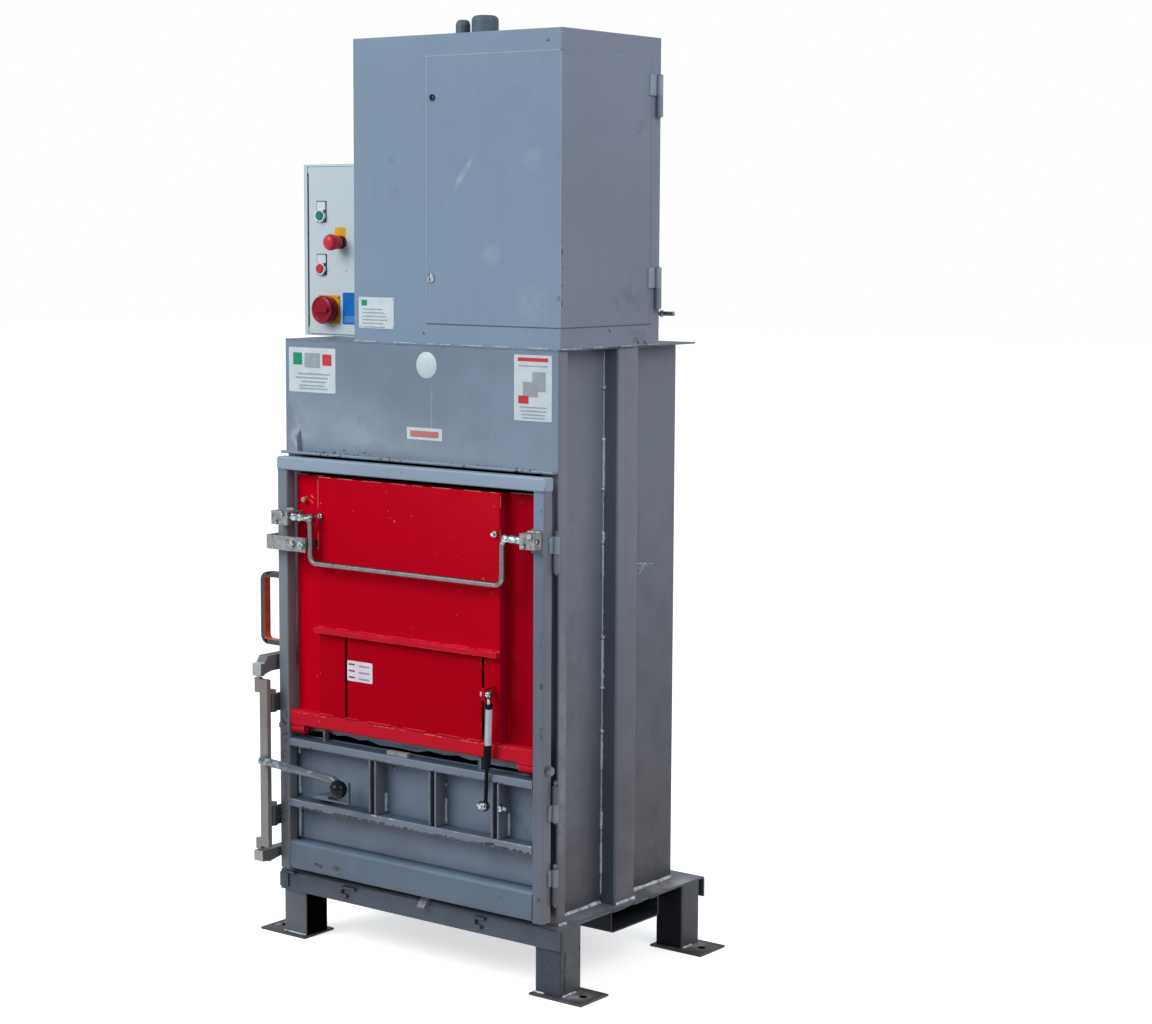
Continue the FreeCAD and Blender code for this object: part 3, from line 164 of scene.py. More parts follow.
# Marks on the paint, most left by use. 'haze' is a pale rub, on the platform's top a painted
# highlight; 'dark' a scuff, on the lever arm painted shade; 'chip' specks of dark metal, 'bare'
# specks of primer, 'pale' bright scratches, on the lever arm a painted highlight; the brownish
# mark is a painted highlight; 'shade' is painted shade in a gap and 'deep' painted shade in a
# darker red.
SPOT_KINDS = {  # noise scale, from, to, strongest, colour
    "haze": (24, 0.3, 0.65, 0.5, (0.46, 0.5, 0.55)),
    "dark": (30, 0.42, 0.6, 0.5, (0.06, 0.07, 0.075)),
    "chip": (75, 0.54, 0.58, 1, (0.03, 0.03, 0.035)),
    "bare": (85, 0.54, 0.6, 0.95, (0.62, 0.33, 0.13)),
    "pale": (60, 0.48, 0.62, 0.8, (0.5, 0.55, 0.6)),
    "worn_highlight": (22, 0.36, 0.6, 0.7, (0.34, 0.29, 0.27)),
    "shade": (4, -1, 0, 0.88, (0.018, 0.03, 0.052)),
    "deep": (4, -1, 0, 0.88, (0.2, 0, 0.008)),
}


def mark(g, base, kind, centre, radii, strength=1, tilt=0):
    """Lay a mark over a colour, turned by its tilt in degrees about Y."""
    scale, low, high, most, colour = SPOT_KINDS[kind]
    offset = g.node("Mapping", {"Vector": g.coords, "Location": mm(*centre),
                                "Rotation": (0, -math.radians(tilt), 0), "Scale": mm(*radii)},
                    vector_type="TEXTURE")
    distance = g.node("VectorMath", {0: offset}, "Value", operation="LENGTH")
    grain = g.patches(scale, 4, 0.62, low, high, 0.1 * most if kind == "haze" else 0,
                      most * strength)
    mask = g.window(distance, 1, 0.2 if kind in ("haze", "dark") else 0.6)
    return g.mix(g.times(mask, grain), base, colour)


def on_front(y, deep, *rows):
    """Marks on a face that looks to -Y: (kind, x, z, half width, half height, ...)."""
    return [(kind, (x, y, z), (wide, deep, tall), *more)
            for kind, x, z, wide, tall, *more in rows]


def on_right(x, deep, *rows):
    """Marks on a face that looks to +X: (kind, y, z, half width, half height, ...)."""
    return [(kind, (x, y, z), (deep, wide, tall), *more)
            for kind, y, z, wide, tall, *more in rows]


def shifted(colour, factor, more=0):
    return tuple(min(1, c * factor + more) for c in colour)


def paint(name, colour, chips=0.5, rough=0.42, tone=0.12, under=(0.045, 0.042, 0.04),
          rust=0.35, dust=0.25, low=0.62, peel=0.12, scuffs=0.3, gloss=0.4, bright=0,
          ramp=None, spots=()):
    """Machine enamel: uneven tone, runs, rubbed patches, chipped edges and specks with
    some rust and grime, and painted shade as a darker tone towards the floor. 'bright'
    lightens sharp edges, partly rubbed paint and partly painted highlight. 'under' is the
    colour laid bare. A ramp is the height in metres where its factors hold, the factors,
    and the height where they have faded out."""
    g = Graph(name)
    base = g.mix(g.patches(2.1, 4, 0.6, 0.32, 0.68), shifted(colour, 1 - tone),
                 shifted(colour, 1 + tone * 0.8))
    cloud = g.patches(9, 4, 0.6, 0.45, 0.72, distortion=0.6)
    base = g.mix(g.times(cloud, tone), base, shifted(colour, 1.3))
    runs = g.patches(5, 3, 0.6, 0.52, 0.75, coords=g.stretched(7, 7, 0.6))
    base = g.mix(g.times(runs, 0.14), base, shifted(colour, 0.72))
    rubbed = g.patches(3.2, 5, 0.7, 0.6, 0.78, distortion=1.4)
    fine = g.patches(90, 2, 0.5, 0.42, 0.66, coords=g.stretched(1, 1, 0.25))
    base = g.mix(g.times(rubbed, fine, scuffs), base, shifted(colour, 1.5, 0.02))
    # painted shade: the tone darkens towards the floor
    if low < 1:
        foot = (low * 1.08, low * 0.96, low * 0.92)
        base = g.mix(g.by_height(1.25, 0.16), base, foot, "MULTIPLY")
    if ramp:
        full, factors, faded = ramp
        base = g.mix(g.by_height(faded, full), base, factors, "MULTIPLY")
    if dust:
        grime = g.patches(6.5, 5, 0.65, 0.42, 0.7)
        base = g.mix(g.times(g.by_height(0.6, 0), grime, dust), base, (0.06, 0.053, 0.046))
    for spot in spots:
        base = mark(g, base, *spot)

    edge = g.edges()
    # lighter sharp edges: partly rubbed paint, partly painted highlight
    if bright:
        worn_highlight = g.patches(17, 4, 0.65, 0.4, 0.62)
        base = g.mix(g.times(edge, worn_highlight, bright), base, shifted(colour, 2.2, 0.1))
    break_up = g.patches(38, 5, 0.7, 0.5 - 0.06 * chips, 0.6 - 0.06 * chips)
    where = g.patches(4.3, 3, 0.6, 0.46 - 0.1 * chips, 0.6 - 0.1 * chips)
    specks = g.times(g.patches(120, 2, 0.5, 0.735 - 0.02 * chips, 0.75 - 0.02 * chips),
                     g.patches(5.7, 3, 0.6, 0.52, 0.62))
    gone = g.calc("MAXIMUM", g.times(edge, break_up, where), specks)
    gone = g.times(gone, min(1, chips * 1.6))
    rusty = g.times(g.patches(60, 3, 0.6, 0.45, 0.62), rust)
    bared = g.mix(rusty, under, (0.14, 0.055, 0.024))
    sheen = g.patches(14, 4, 0.6, 0.3, 0.7, rough - 0.07, rough + 0.09)
    height = g.calc("ADD", g.times(g.noise(160, 2, 0.5), 0.25),
                    g.times(g.noise(4, 2, 0.5), 3))
    height = g.calc("SUBTRACT", height, g.times(gone, 0.9))
    g.set(Base_Color=g.mix(gone, base, bared), Roughness=g.mix(gone, sheen, (0.75,) * 3),
          Specular_IOR_Level=gloss, Normal=g.bump(height, peel, 1.2 * MM))
    return g.material


def metal(name, colour, rough=0.38, stain=0.4, rust=0.15, spangle=0, metallic=1, grain=1):
    """Bare, zinc-plated or galvanised steel with dull patches and some rust."""
    g = Graph(name)
    dull = g.times(g.patches(45 * grain, 5, 0.65, 0.38, 0.66), stain)
    base = g.mix(dull, colour, shifted(colour, 0.5 if grain == 1 else 0.22))
    if spangle:
        cells = g.node("TexVoronoi", {"Vector": g.coords, "Scale": 130}, "Color")
        base = g.mix(g.times(cells, spangle), base, shifted(colour, 1.35))
    rusty = g.times(g.patches(70, 4, 0.6, 0.58, 0.68), rust)
    g.set(Base_Color=g.mix(rusty, base, (0.16, 0.07, 0.035)), Metallic=metallic,
          Roughness=g.patches(60, 3, 0.6, 0.3, 0.7, rough - 0.08, rough + 0.16),
          Normal=g.bump(g.noise(220, 3, 0.6), 0.14, 0.6 * MM))
    return g.material


def plastic(name, colour, rough=0.35, tone=0.08, gloss=0.4):
    """Moulded plastic, label film or print."""
    g = Graph(name)
    cloud = g.patches(35, 3, 0.6, 0.35, 0.65)
    g.set(Base_Color=g.mix(cloud, shifted(colour, 1 - tone * 2), colour),
          Roughness=g.patches(80, 2, 0.5, 0.3, 0.7, rough - 0.05, rough + 0.1),
          Specular_IOR_Level=gloss, Normal=g.bump(g.noise(400, 2, 0.5), 0.05, 0.4 * MM))
    return g.material


def tint(*factors):
    """The body's blue-grey, each channel scaled."""
    return tuple(c * f for c, f in zip(BODY, factors))


BODY = (0.148, 0.18, 0.23)
clean = partial(paint, dust=0, low=1)  # no grime and no darker foot
GREY = paint("body_enamel", BODY, dust=0.35)
HEADER = clean(
    "header_enamel", tint(1.12, 1.18, 1.19), chips=0.45, scuffs=0.4,
    ramp=(1.16, (1, 0.99, 0.99), 1.34), spots=on_front(
        -265, 20, ("dark", -370, 1260, 40, 130, 0.5), ("chip", -235, 1166, 150, 7),
        ("chip", -330, 1350, 60, 40, 0.5), ("haze", 45, 1290, 3.5, 130, 0.35)))
HEADLIP = clean(
    "header_lip_enamel", tint(1.35, 1.36, 1.32), chips=1, rust=0.3, bright=0.3,
    under=(0.03, 0.03, 0.034),
    spots=on_front(-282, 12, *(("chip", x, 1157, 60, 7) for x in (-240, -60, 130, 330))))
# the 'shade' mark is painted shade on the post's edge in the gap beside the right stile
SIDE = paint(
    "side_enamel", tint(1.22, 1.08, 1.05), chips=0.45, dust=0.4, low=0.42,
    spots=on_right(360, 12, ("haze", 108, 912, 26, 7), ("haze", 112, 914, 6, 20)) + [
        ("chip", (400, -248, 1225), (8, 6, 6)), ("dark", (380, -130, 520), (40, 60, 260)),
        ("haze", (400, -245, 560), (8, 30, 420), 0.6), ("shade", (392, -262, 655), (15, 6, 540))])
WALL = paint(
    "wall_enamel", tint(1.01, 0.92, 0.93), chips=0.45, dust=0.3, low=0.36,
    spots=on_right(360, 12, ("haze", 108, 912, 26, 7, 0.5))
    + on_right(360, 14, ("haze", -160, 760, 130, 760, 0.22)))
# painted shade on the stiffeners' front flanges, in the recess beside the post
STIFF_SHADE = paint("stiffener_front_painted_shade", tint(0.73, 0.78, 0.78), chips=0.4, low=0.72)
DOOR = paint(
    "door_enamel", tint(0.92, 0.94, 0.93), chips=0.85, dust=0.3, rust=0.45, bright=0.35,
    low=0.66)
GUIDE_SIDE = paint("guide_side_enamel", tint(1.02, 0.97, 0.9), chips=0.4, dust=0.2, low=0.9)
GUIDE_EDGE = paint(
    "guide_edge_enamel", tint(1.05, 1.05, 1.02), chips=1, dust=0.1, low=0.9, rust=0.3,
    under=(0.03, 0.03, 0.032))
RAIL = clean("top_rail_enamel", tint(1.82, 1.9, 1.82), chips=0.6, rust=0.3, bright=0.3)
STILE_SIDE = paint(
    "stile_side_enamel", tint(1.08, 0.98, 0.92), chips=0.6, rust=0.5, dust=0.2, low=0.85,
    bright=0.5)
STILE = paint(
    "stile_enamel", tint(0.88, 0.89, 0.93), chips=0.6, rust=0.5, dust=0.2, bright=0.3, low=0.8,
    ramp=(1.12, (1.3, 1.42, 1.45), 0.8), spots=on_front(
        -310, 20, ("chip", 392, 690, 5, 40, 0.9), ("chip", 390, 780, 5, 20, 0.9),
        ("chip", 392, 600, 4, 30, 0.8), ("chip", 388, 215, 8, 30, 0.8)))
STILE_LEFT = paint(
    "left_stile_enamel", tint(1.18, 1.12, 1), chips=0.9, rust=0.5, dust=0.2, bright=0.4, low=0.8,
    spots=on_front(-310, 20, ("chip", -372, 500, 16, 90)))
LEAF = paint(
    "hinge_leaf_enamel", tint(1.55, 1.6, 1.55), chips=0.8, dust=0.1, low=0.8, bright=0.5)
PAN = paint(
    "pan_enamel", tint(0.96, 1.08, 1.18), chips=0.4, dust=0.15, low=0.85, scuffs=0.5,
    spots=on_front(
        -273, 30, ("dark", -330, 420, 60, 80, 0.7), ("dark", 330, 400, 60, 90, 0.7)))
LOWRAIL = paint(
    "bottom_rail_enamel", tint(0.8, 1, 1.12), chips=0.55, low=0.8, spots=on_front(
        -310, 12, ("chip", -262, 198, 26, 9), ("chip", -205, 199, 22, 8),
        ("chip", 279, 206, 13, 16), ("chip", 40, 214, 8, 9)))
# painted highlight on the bottom rail's upward-facing bend
RAIL_BEND_HIGHLIGHT = paint("rail_bend_painted_highlight", tint(0.95, 1.25, 1.42), chips=0.3, dust=0, low=0.85)
LEDGE = paint(
    "ledge_enamel", tint(1.22, 1.28, 1.3), chips=1.2, rust=0.4, bright=0.3, low=0.82,
    under=(0.022, 0.021, 0.022),
    spots=on_front(-310, 8, *(("pale", x, 344, 60, 4) for x in (-300, -60, 180, 330))))
# painted shade on the ledges' top faces
LEDGE_TOP_SHADE = paint(
    "ledge_top_painted_shade", tint(0.46, 0.6, 0.68), chips=0.8, dust=0.1, low=0.9, scuffs=0.6)
LIP = paint("platform_enamel", tint(0.41, 0.49, 0.56), chips=0.8, dust=0.5, low=0.85, bright=0.3)
# the platform's top faces; their pale and brownish marks are painted highlights
LIPTOP_HIGHLIT = paint(
    "platform_top_painted_highlights", tint(0.95, 0.93, 0.9), chips=0.8, dust=0.2, low=0.9, scuffs=0.8,
    bright=0.4, spots=[
        ("haze", (395, -150, 160), (30, 130, 8)), ("worn_highlight", (405, 190, 160), (50, 120, 10), 1.5),
        ("haze", (405, 210, 160), (40, 80, 8), 1.3)])
LEGS = paint(
    "leg_enamel", (0.072, 0.083, 0.102), chips=0.7, low=0.8,
    spots=[("chip", (400, -268, 60), (30, 30, 60)), ("chip", (418, -220, 90), (12, 14, 22))])
# copies of the leg paint for single faces: painted light on a lit front, painted shade on shaded
# fronts and sides, darkest where the shadow is deepest
LEG_FRONT_LIT = paint("leg_front_painted_light", (0.126, 0.151, 0.177), chips=0.7, low=0.8)
LEG_CORNER_SHADE = paint(
    "leg_corner_painted_shade", (0.036, 0.053, 0.078), chips=0.9, dust=0.15, low=0.9, gloss=0.3,
    spots=on_front(-268, 12, ("chip", 380, 60, 30, 60, 0.7)))
LEGDIM = paint(
    "leg_shaded_enamel", (0.078, 0.084, 0.104), dust=0, low=0.9, gloss=0.2, bright=0.4)
LEG_DEEP_SHADE = clean("leg_dark_enamel", (0.015, 0.015, 0.02), chips=0.2, scuffs=0.1, gloss=0.05)
LEG_SHADOW = clean("leg_black_enamel", (0.002, 0.002, 0.0025), chips=0.1, scuffs=0, gloss=0)
FORK = clean("fork_channel_enamel", (0.022, 0.025, 0.031), scuffs=0.2, gloss=0.12, bright=0.9)
FEET = paint(
    "foot_enamel", (0.06, 0.057, 0.058), rough=0.5, chips=0.8, dust=0.6, low=0.9, bright=0.8,
    scuffs=0.8, spots=[
        ("haze", (430, -231, 5), (50, 52, 9)), ("pale", (-440, -231, 5), (40, 52, 9), 0.5),
        ("haze", (400, 231, 5), (80, 60, 9))])
HOOD = clean(
    "hood_enamel", (0.16, 0.222, 0.305), chips=0.12, rough=0.46, scuffs=0.22, tone=0.06,
    ramp=(1.42, (1.2, 1.17, 1.13), 1.95), spots=on_front(
        -263, 20, ("haze", 136, 1796, 58, 11, 0.9, 52), ("haze", 326, 1822, 34, 34, 0.5),
        ("haze", 216, 1620, 36, 28, 0.5), ("haze", 330, 1520, 60, 60, 0.4),
        ("dark", -70, 1830, 16, 18, 0.5), ("dark", -126, 1770, 14, 50, 0.3),
        ("dark", -60, 1750, 30, 60, 0.25))
    + on_front(-263, 12, ("chip", -30, 1450, 22, 7), ("chip", 22, 1447, 16, 5))
    + on_right(405, 3, ("chip", -262, 1580, 8, 100, 0.8)))
HOODSIDE = clean(
    "hood_side_enamel", (0.204, 0.229, 0.3), chips=0.12, rough=0.46, scuffs=0.2, tone=0.05,
    ramp=(2.05, (1.07, 1.1, 1.13), 1.7), spots=on_right(
        405, 8, ("chip", -94, 1459, 26, 7), ("dark", 20, 1440, 70, 22),
        ("chip", 40, 1428, 34, 6), ("chip", -259, 1580, 4, 100, 0.8),
        ("dark", 20, 1900, 26, 30, 0.6), ("dark", -20, 1520, 90, 50, 0.5)))
HINGE_LIGHT = clean("hatch_hinge_enamel", (0.3, 0.345, 0.42), chips=0.3)
# light lines along the hatch's edges and corner: painted highlight
EDGE_HIGHLIGHT = clean("hood_edge_enamel", (0.245, 0.31, 0.395), chips=0.1, tone=0.1)
# dark lines under the hatch's edges and above the bottom rail's bend: painted shade
SEAM_SHADE = clean("hood_seam_enamel", (0.055, 0.075, 0.105), chips=0.1, tone=0.1)
red = partial(
    clean, rough=0.46, tone=0.05, under=(0.5, 0.26, 0.1), rust=0.1, scuffs=0, gloss=0.02)
RED = red(
    "flap_enamel", (0.475, 0, 0.0105), chips=0.45, bright=0.08,
    spots=on_front(-276, 22, ("bare", -315, 1051, 16, 14)))
# darker red: painted shade on the tray's right fold face; on the left pivot parts a plain darker
# red
RED_SHADE_AND_DARK = red(
    "flap_fold_enamel", (0.34, 0, 0.018), rough=0.5, rust=0.35, under=(0.4, 0.18, 0.08))
# the flap panel's red; its 'deep' mark over the right strip is painted shade in a darker red
RED_LEFT = red(
    "flap_left_enamel", (0.6, 0, 0.014), chips=0.3,
    spots=on_front(-276, 22, ("bare", -315, 1051, 15, 13))
    + on_front(-275, 20, ("deep", 330, 830, 70, 560, 0.58)))
RED_BEAM = red(
    "flap_beam_enamel", (0.62, 0.01, 0.026), tone=0.08, gloss=0.05, scuffs=0.1,
    under=(0.5, 0.3, 0.26), bright=0.4)
RED_RIB = red(
    "rib_enamel", (0.6, 0.006, 0.026), chips=0.2, rough=0.45, tone=0.1, rust=0,
    under=(0.62, 0.3, 0.3), scuffs=0.25, gloss=0.08, bright=0.75)
BOX = clean(
    "enclosure_enamel", (0.502, 0.56, 0.592), chips=0.05, rough=0.5, tone=0.03, scuffs=0.1,
    peel=0.2)
BOXRIM = clean(
    "enclosure_rim_enamel", (0.315, 0.37, 0.375), chips=0.2, rough=0.5, tone=0.05, scuffs=0.1)
KEEPER = paint(
    "lock_enamel", (0.158, 0.176, 0.19), chips=1, rough=0.5, rust=0.6, bright=0.7, low=0.9)
KEEPER_END = paint(
    "lock_end_enamel", (0.45, 0.49, 0.475), chips=0.8, rough=0.5, rust=0.5, bright=0.5, low=0.9)
BLACK = clean(
    "black_enamel", (0.012, 0.013, 0.015), chips=0.25, rough=0.3, scuffs=0.1,
    under=(0.12, 0.12, 0.12), tone=0.1)
CAP = clean(
    "cap_enamel", (0.06, 0.088, 0.112), chips=0.6, rough=0.55, tone=0.4, scuffs=0.8,
    under=(0.16, 0.15, 0.14))
BAR_FRONT = clean(
    "lock_bar_enamel", (0.245, 0.225, 0.205), chips=1.2, rough=0.5, rust=0.5, bright=0.5,
    tone=0.3, scuffs=0.8,
    spots=on_front(-351, 20, *(("dark", -412, z, 10, 60) for z in (300, 420, 560)))
    + on_front(-357, 20, ("chip", -408, 430, 3, 180, 0.9)))
HANDLE = clean(
    "handle_enamel", (0.04, 0.038, 0.042), chips=0.9, rough=0.4, rust=0.3,
    under=(0.18, 0.16, 0.15), bright=0.9)
LEVER = clean(
    "lever_enamel", (0.04, 0.048, 0.055), chips=1, rough=0.4, rust=0.2,
    under=(0.2, 0.2, 0.2), tone=0.25, scuffs=0.9)
# the lever arm's pale marks are painted highlights and its dark mark by the ball painted shade
LEVER_ARM = clean(
    "lever_arm_enamel", (0.085, 0.115, 0.132), chips=0.8, rough=0.27, gloss=0.7,
    under=(0.16, 0.17, 0.18), rust=0.2, tone=0.25, scuffs=0.45,
    spots=on_front(
        -367, 40, ("dark", -180, 424, 60, 40, 1.6), ("pale", -350, 446, 60, 30, 0.7),
        ("pale", -215, 436, 30, 8, 0.4))
    + on_front(-367, 30, ("chip", -270, 424, 90, 14)))
STRUT = clean(
    "strut_enamel", (0.008, 0.009, 0.012), chips=0.1, rough=0.35, tone=0.1,
    under=(0.05, 0.05, 0.05), scuffs=0, gloss=0.03)
CROSS = paint(
    "cross_bar_enamel", tint(1.5, 1.46, 1.42), chips=1, rust=0.4, dust=0.1, low=0.95, bright=0.7)
STEEL = metal("worn_steel", (0.19, 0.17, 0.173), rough=0.34, rust=0.35)
ZINC = metal("zinc_plate", (0.46, 0.51, 0.53), rough=0.26, stain=1, rust=0.12, grain=4)
GALV = metal(
    "galvanised_plate", (0.3, 0.31, 0.305), rough=0.46, spangle=0.3, rust=0.5, metallic=0.5,
    stain=0.8, grain=2)
PIN = metal(
    "hinge_pin", (0.145, 0.16, 0.18), rough=0.25, stain=0.7, rust=0.2, metallic=0.4, grain=2)
CHROME = metal("hard_chrome", (0.72, 0.73, 0.75), rough=0.12, stain=0.1, rust=0)
BEZEL = metal("bezel_metal", (0.66, 0.7, 0.72), rough=0.25, stain=0.15, rust=0)
WELD = metal("painted_weld", (0.3, 0.36, 0.41), rough=0.4, rust=0.25, metallic=0.1, stain=0.7)
BURNT = metal("torch_cut_edge", (0.03, 0.029, 0.03), rough=0.6, rust=0.5, metallic=0.3)
dull = partial(metal, metallic=0)  # thick paint, primer and the bottoms of chips
CAULK = dull("thick_paint_bead", (0.42, 0.5, 0.58), rough=0.4, rust=0.05)
SEAM = dull("seam_bead", (0.4, 0.43, 0.47), rough=0.45, rust=0.1)
PRIMER = dull("primer_edge", (0.56, 0.27, 0.17), rough=0.5, rust=0.1, stain=0.5)
LIGHTRED = dull("rubbed_red", (0.6, 0.07, 0.06), rough=0.5, rust=0.1)
BEAD = dull("whitish_bead", (0.68, 0.73, 0.77), rough=0.36, rust=0.12, stain=0.8, grain=1.5)
CHIPPED = dull("chipped_edge", (0.016, 0.017, 0.021), rough=0.6, rust=0.3, stain=0.5)
RUBBED = dull("rubbed_pink_edge", (0.62, 0.17, 0.16), rough=0.5, rust=0.1, stain=0.5)
DARK = plastic("black_plastic", (0.013, 0.014, 0.016), rough=0.38)
PALE = plastic("pale_plastic", (0.31, 0.31, 0.3), rough=0.5, tone=0.2)
BALL = plastic("ball_black", (0.005, 0.008, 0.011), rough=0.18, gloss=0.16)
WHITE = plastic("white_label", (0.6, 0.66, 0.69), tone=0.04, gloss=0.2)
ROSY = plastic("rosy_white_label", (0.8, 0.72, 0.77), rough=0.4, tone=0.04, gloss=0.2)
NAVY = plastic("dark_blue_label", (0.004, 0.012, 0.06), gloss=0.3)
GREEN = plastic("green_plastic", (0, 0.2, 0.12), rough=0.28)
SIGNAL = plastic("signal_red_plastic", (0.6, 0.025, 0.035), rough=0.3, gloss=0.3)
MAROON = plastic("knob_red_plastic", (0.3, 0, 0.018), rough=0.14, gloss=0.2)
YELLOW = plastic("yellow_plastic", (0.76, 0.36, 0.004), rough=0.4, gloss=0.2)
BLUE = plastic("blue_label", (0, 0.13, 0.46), gloss=0.2)
SKY = plastic("light_blue_label", (0.06, 0.23, 0.55), gloss=0.2)
INK_GREEN = plastic("green_print", (0, 0.25, 0.13), rough=0.4)
INK_RED = plastic("red_print", (0.55, 0.025, 0.03), rough=0.4)
INK_PINK = plastic("pale_red_print", (0.5, 0.17, 0.15), rough=0.4)
INK_GREY = plastic("grey_print", (0.33, 0.36, 0.39), rough=0.4)
ORANGE = plastic("handle_inner_paint", (1, 0.135, 0.065), tone=0.12, gloss=0.2)

# node: (paint, width of the softened edges)
NODE_LOOKS = {
    "platform": (LIP, 0.9), "fork_channel": (FORK, 0.6), "foot_plates": (FEET, 0.6),
    "leg_front_left": (LEGS, 0.5), "leg_front_right": (LEGS, 0.5),
    "leg_rear_left": (LEGS, 0.5), "leg_rear_right": (LEGS, 0.5),
    "chamber_walls": (WALL, 0), "front_posts": (SIDE, 0.6), "side_stiffeners": (SIDE, 0.4),
    "front_header": (HEADER, 0.8), "roof_plate": (GREY, 0.5), "keeper_arms": (KEEPER, 1),
    "door_hinge_seats": (SIDE, 0.6), "door_hinge_leaves": (LEAF, 0.6),
    "door_hinge_pins": (PIN, 0.4), "hood_shell": (HOOD, 0.4), "hood_hatch": (HOOD, 0.3),
    "press_cylinder": (BLACK, 0.8), "cylinder_cap": (CAP, 0), "breather_cap": (CAP, 0),
    "oil_tank": (GREY, 1), "power_pack": (BLACK, 0.8), "oil_pipes": (STEEL, 0),
    "control_box": (BOX, 0.5), "control_door": (BOX, 0.9), "control_fittings": (DARK, 0.4),
    "door_stile_left": (STILE_LEFT, 0.5), "door_stile_right": (STILE, 0.5),
    "door_top_rail": (RAIL, 0.5), "door_bottom_rail": (LOWRAIL, 0), "lower_panel": (PAN, 0.8),
    "door_ledges": (LEDGE, 0.4), "cross_bar": (CROSS, 0.7), "buffer_block": (PALE, 0.8),
    "door_handle": (HANDLE, 1.2), "flap_pivot_bolts": (PIN, 0.6),
    "lock_brackets": (LEVER, 0.8), "lock_bar": (KEEPER, 1), "lock_lever": (LEVER_ARM, 0),
    "flap_panel": (RED_LEFT, 0.4), "flap_cover": (RED, 1.2), "flap_beam": (RED_BEAM, 0.8),
    "stop_bar": (GALV, 0.7), "bail_bearings": (GALV, 1), "flap_bolts": (ZINC, 0.6),
    "bail_handle": (STEEL, 0), "strut_tube": (STRUT, 0), "strut_rod": (ZINC, 0.3),
    "hatch_lock_upper": (DARK, 0.3), "hatch_lock_lower": (ZINC, 0.4),
    "piston_rod": (CHROME, 0), "press_platen": (GREY, 1.2),
    "green_button": (GREEN, 0), "red_button": (SIGNAL, 0), "emergency_stop": (SIGNAL, 0),
    "switch_knob": (MAROON, 0.8),
}

Facet = namedtuple("Facet", "x y z nx ny nz")  # a face's centre and normal
FACING = 0.7  # a face looks along an axis when its normal has more than this along it


def looks_front(f):
    return f.ny < -FACING


def looks_right(f):
    return f.nx > FACING


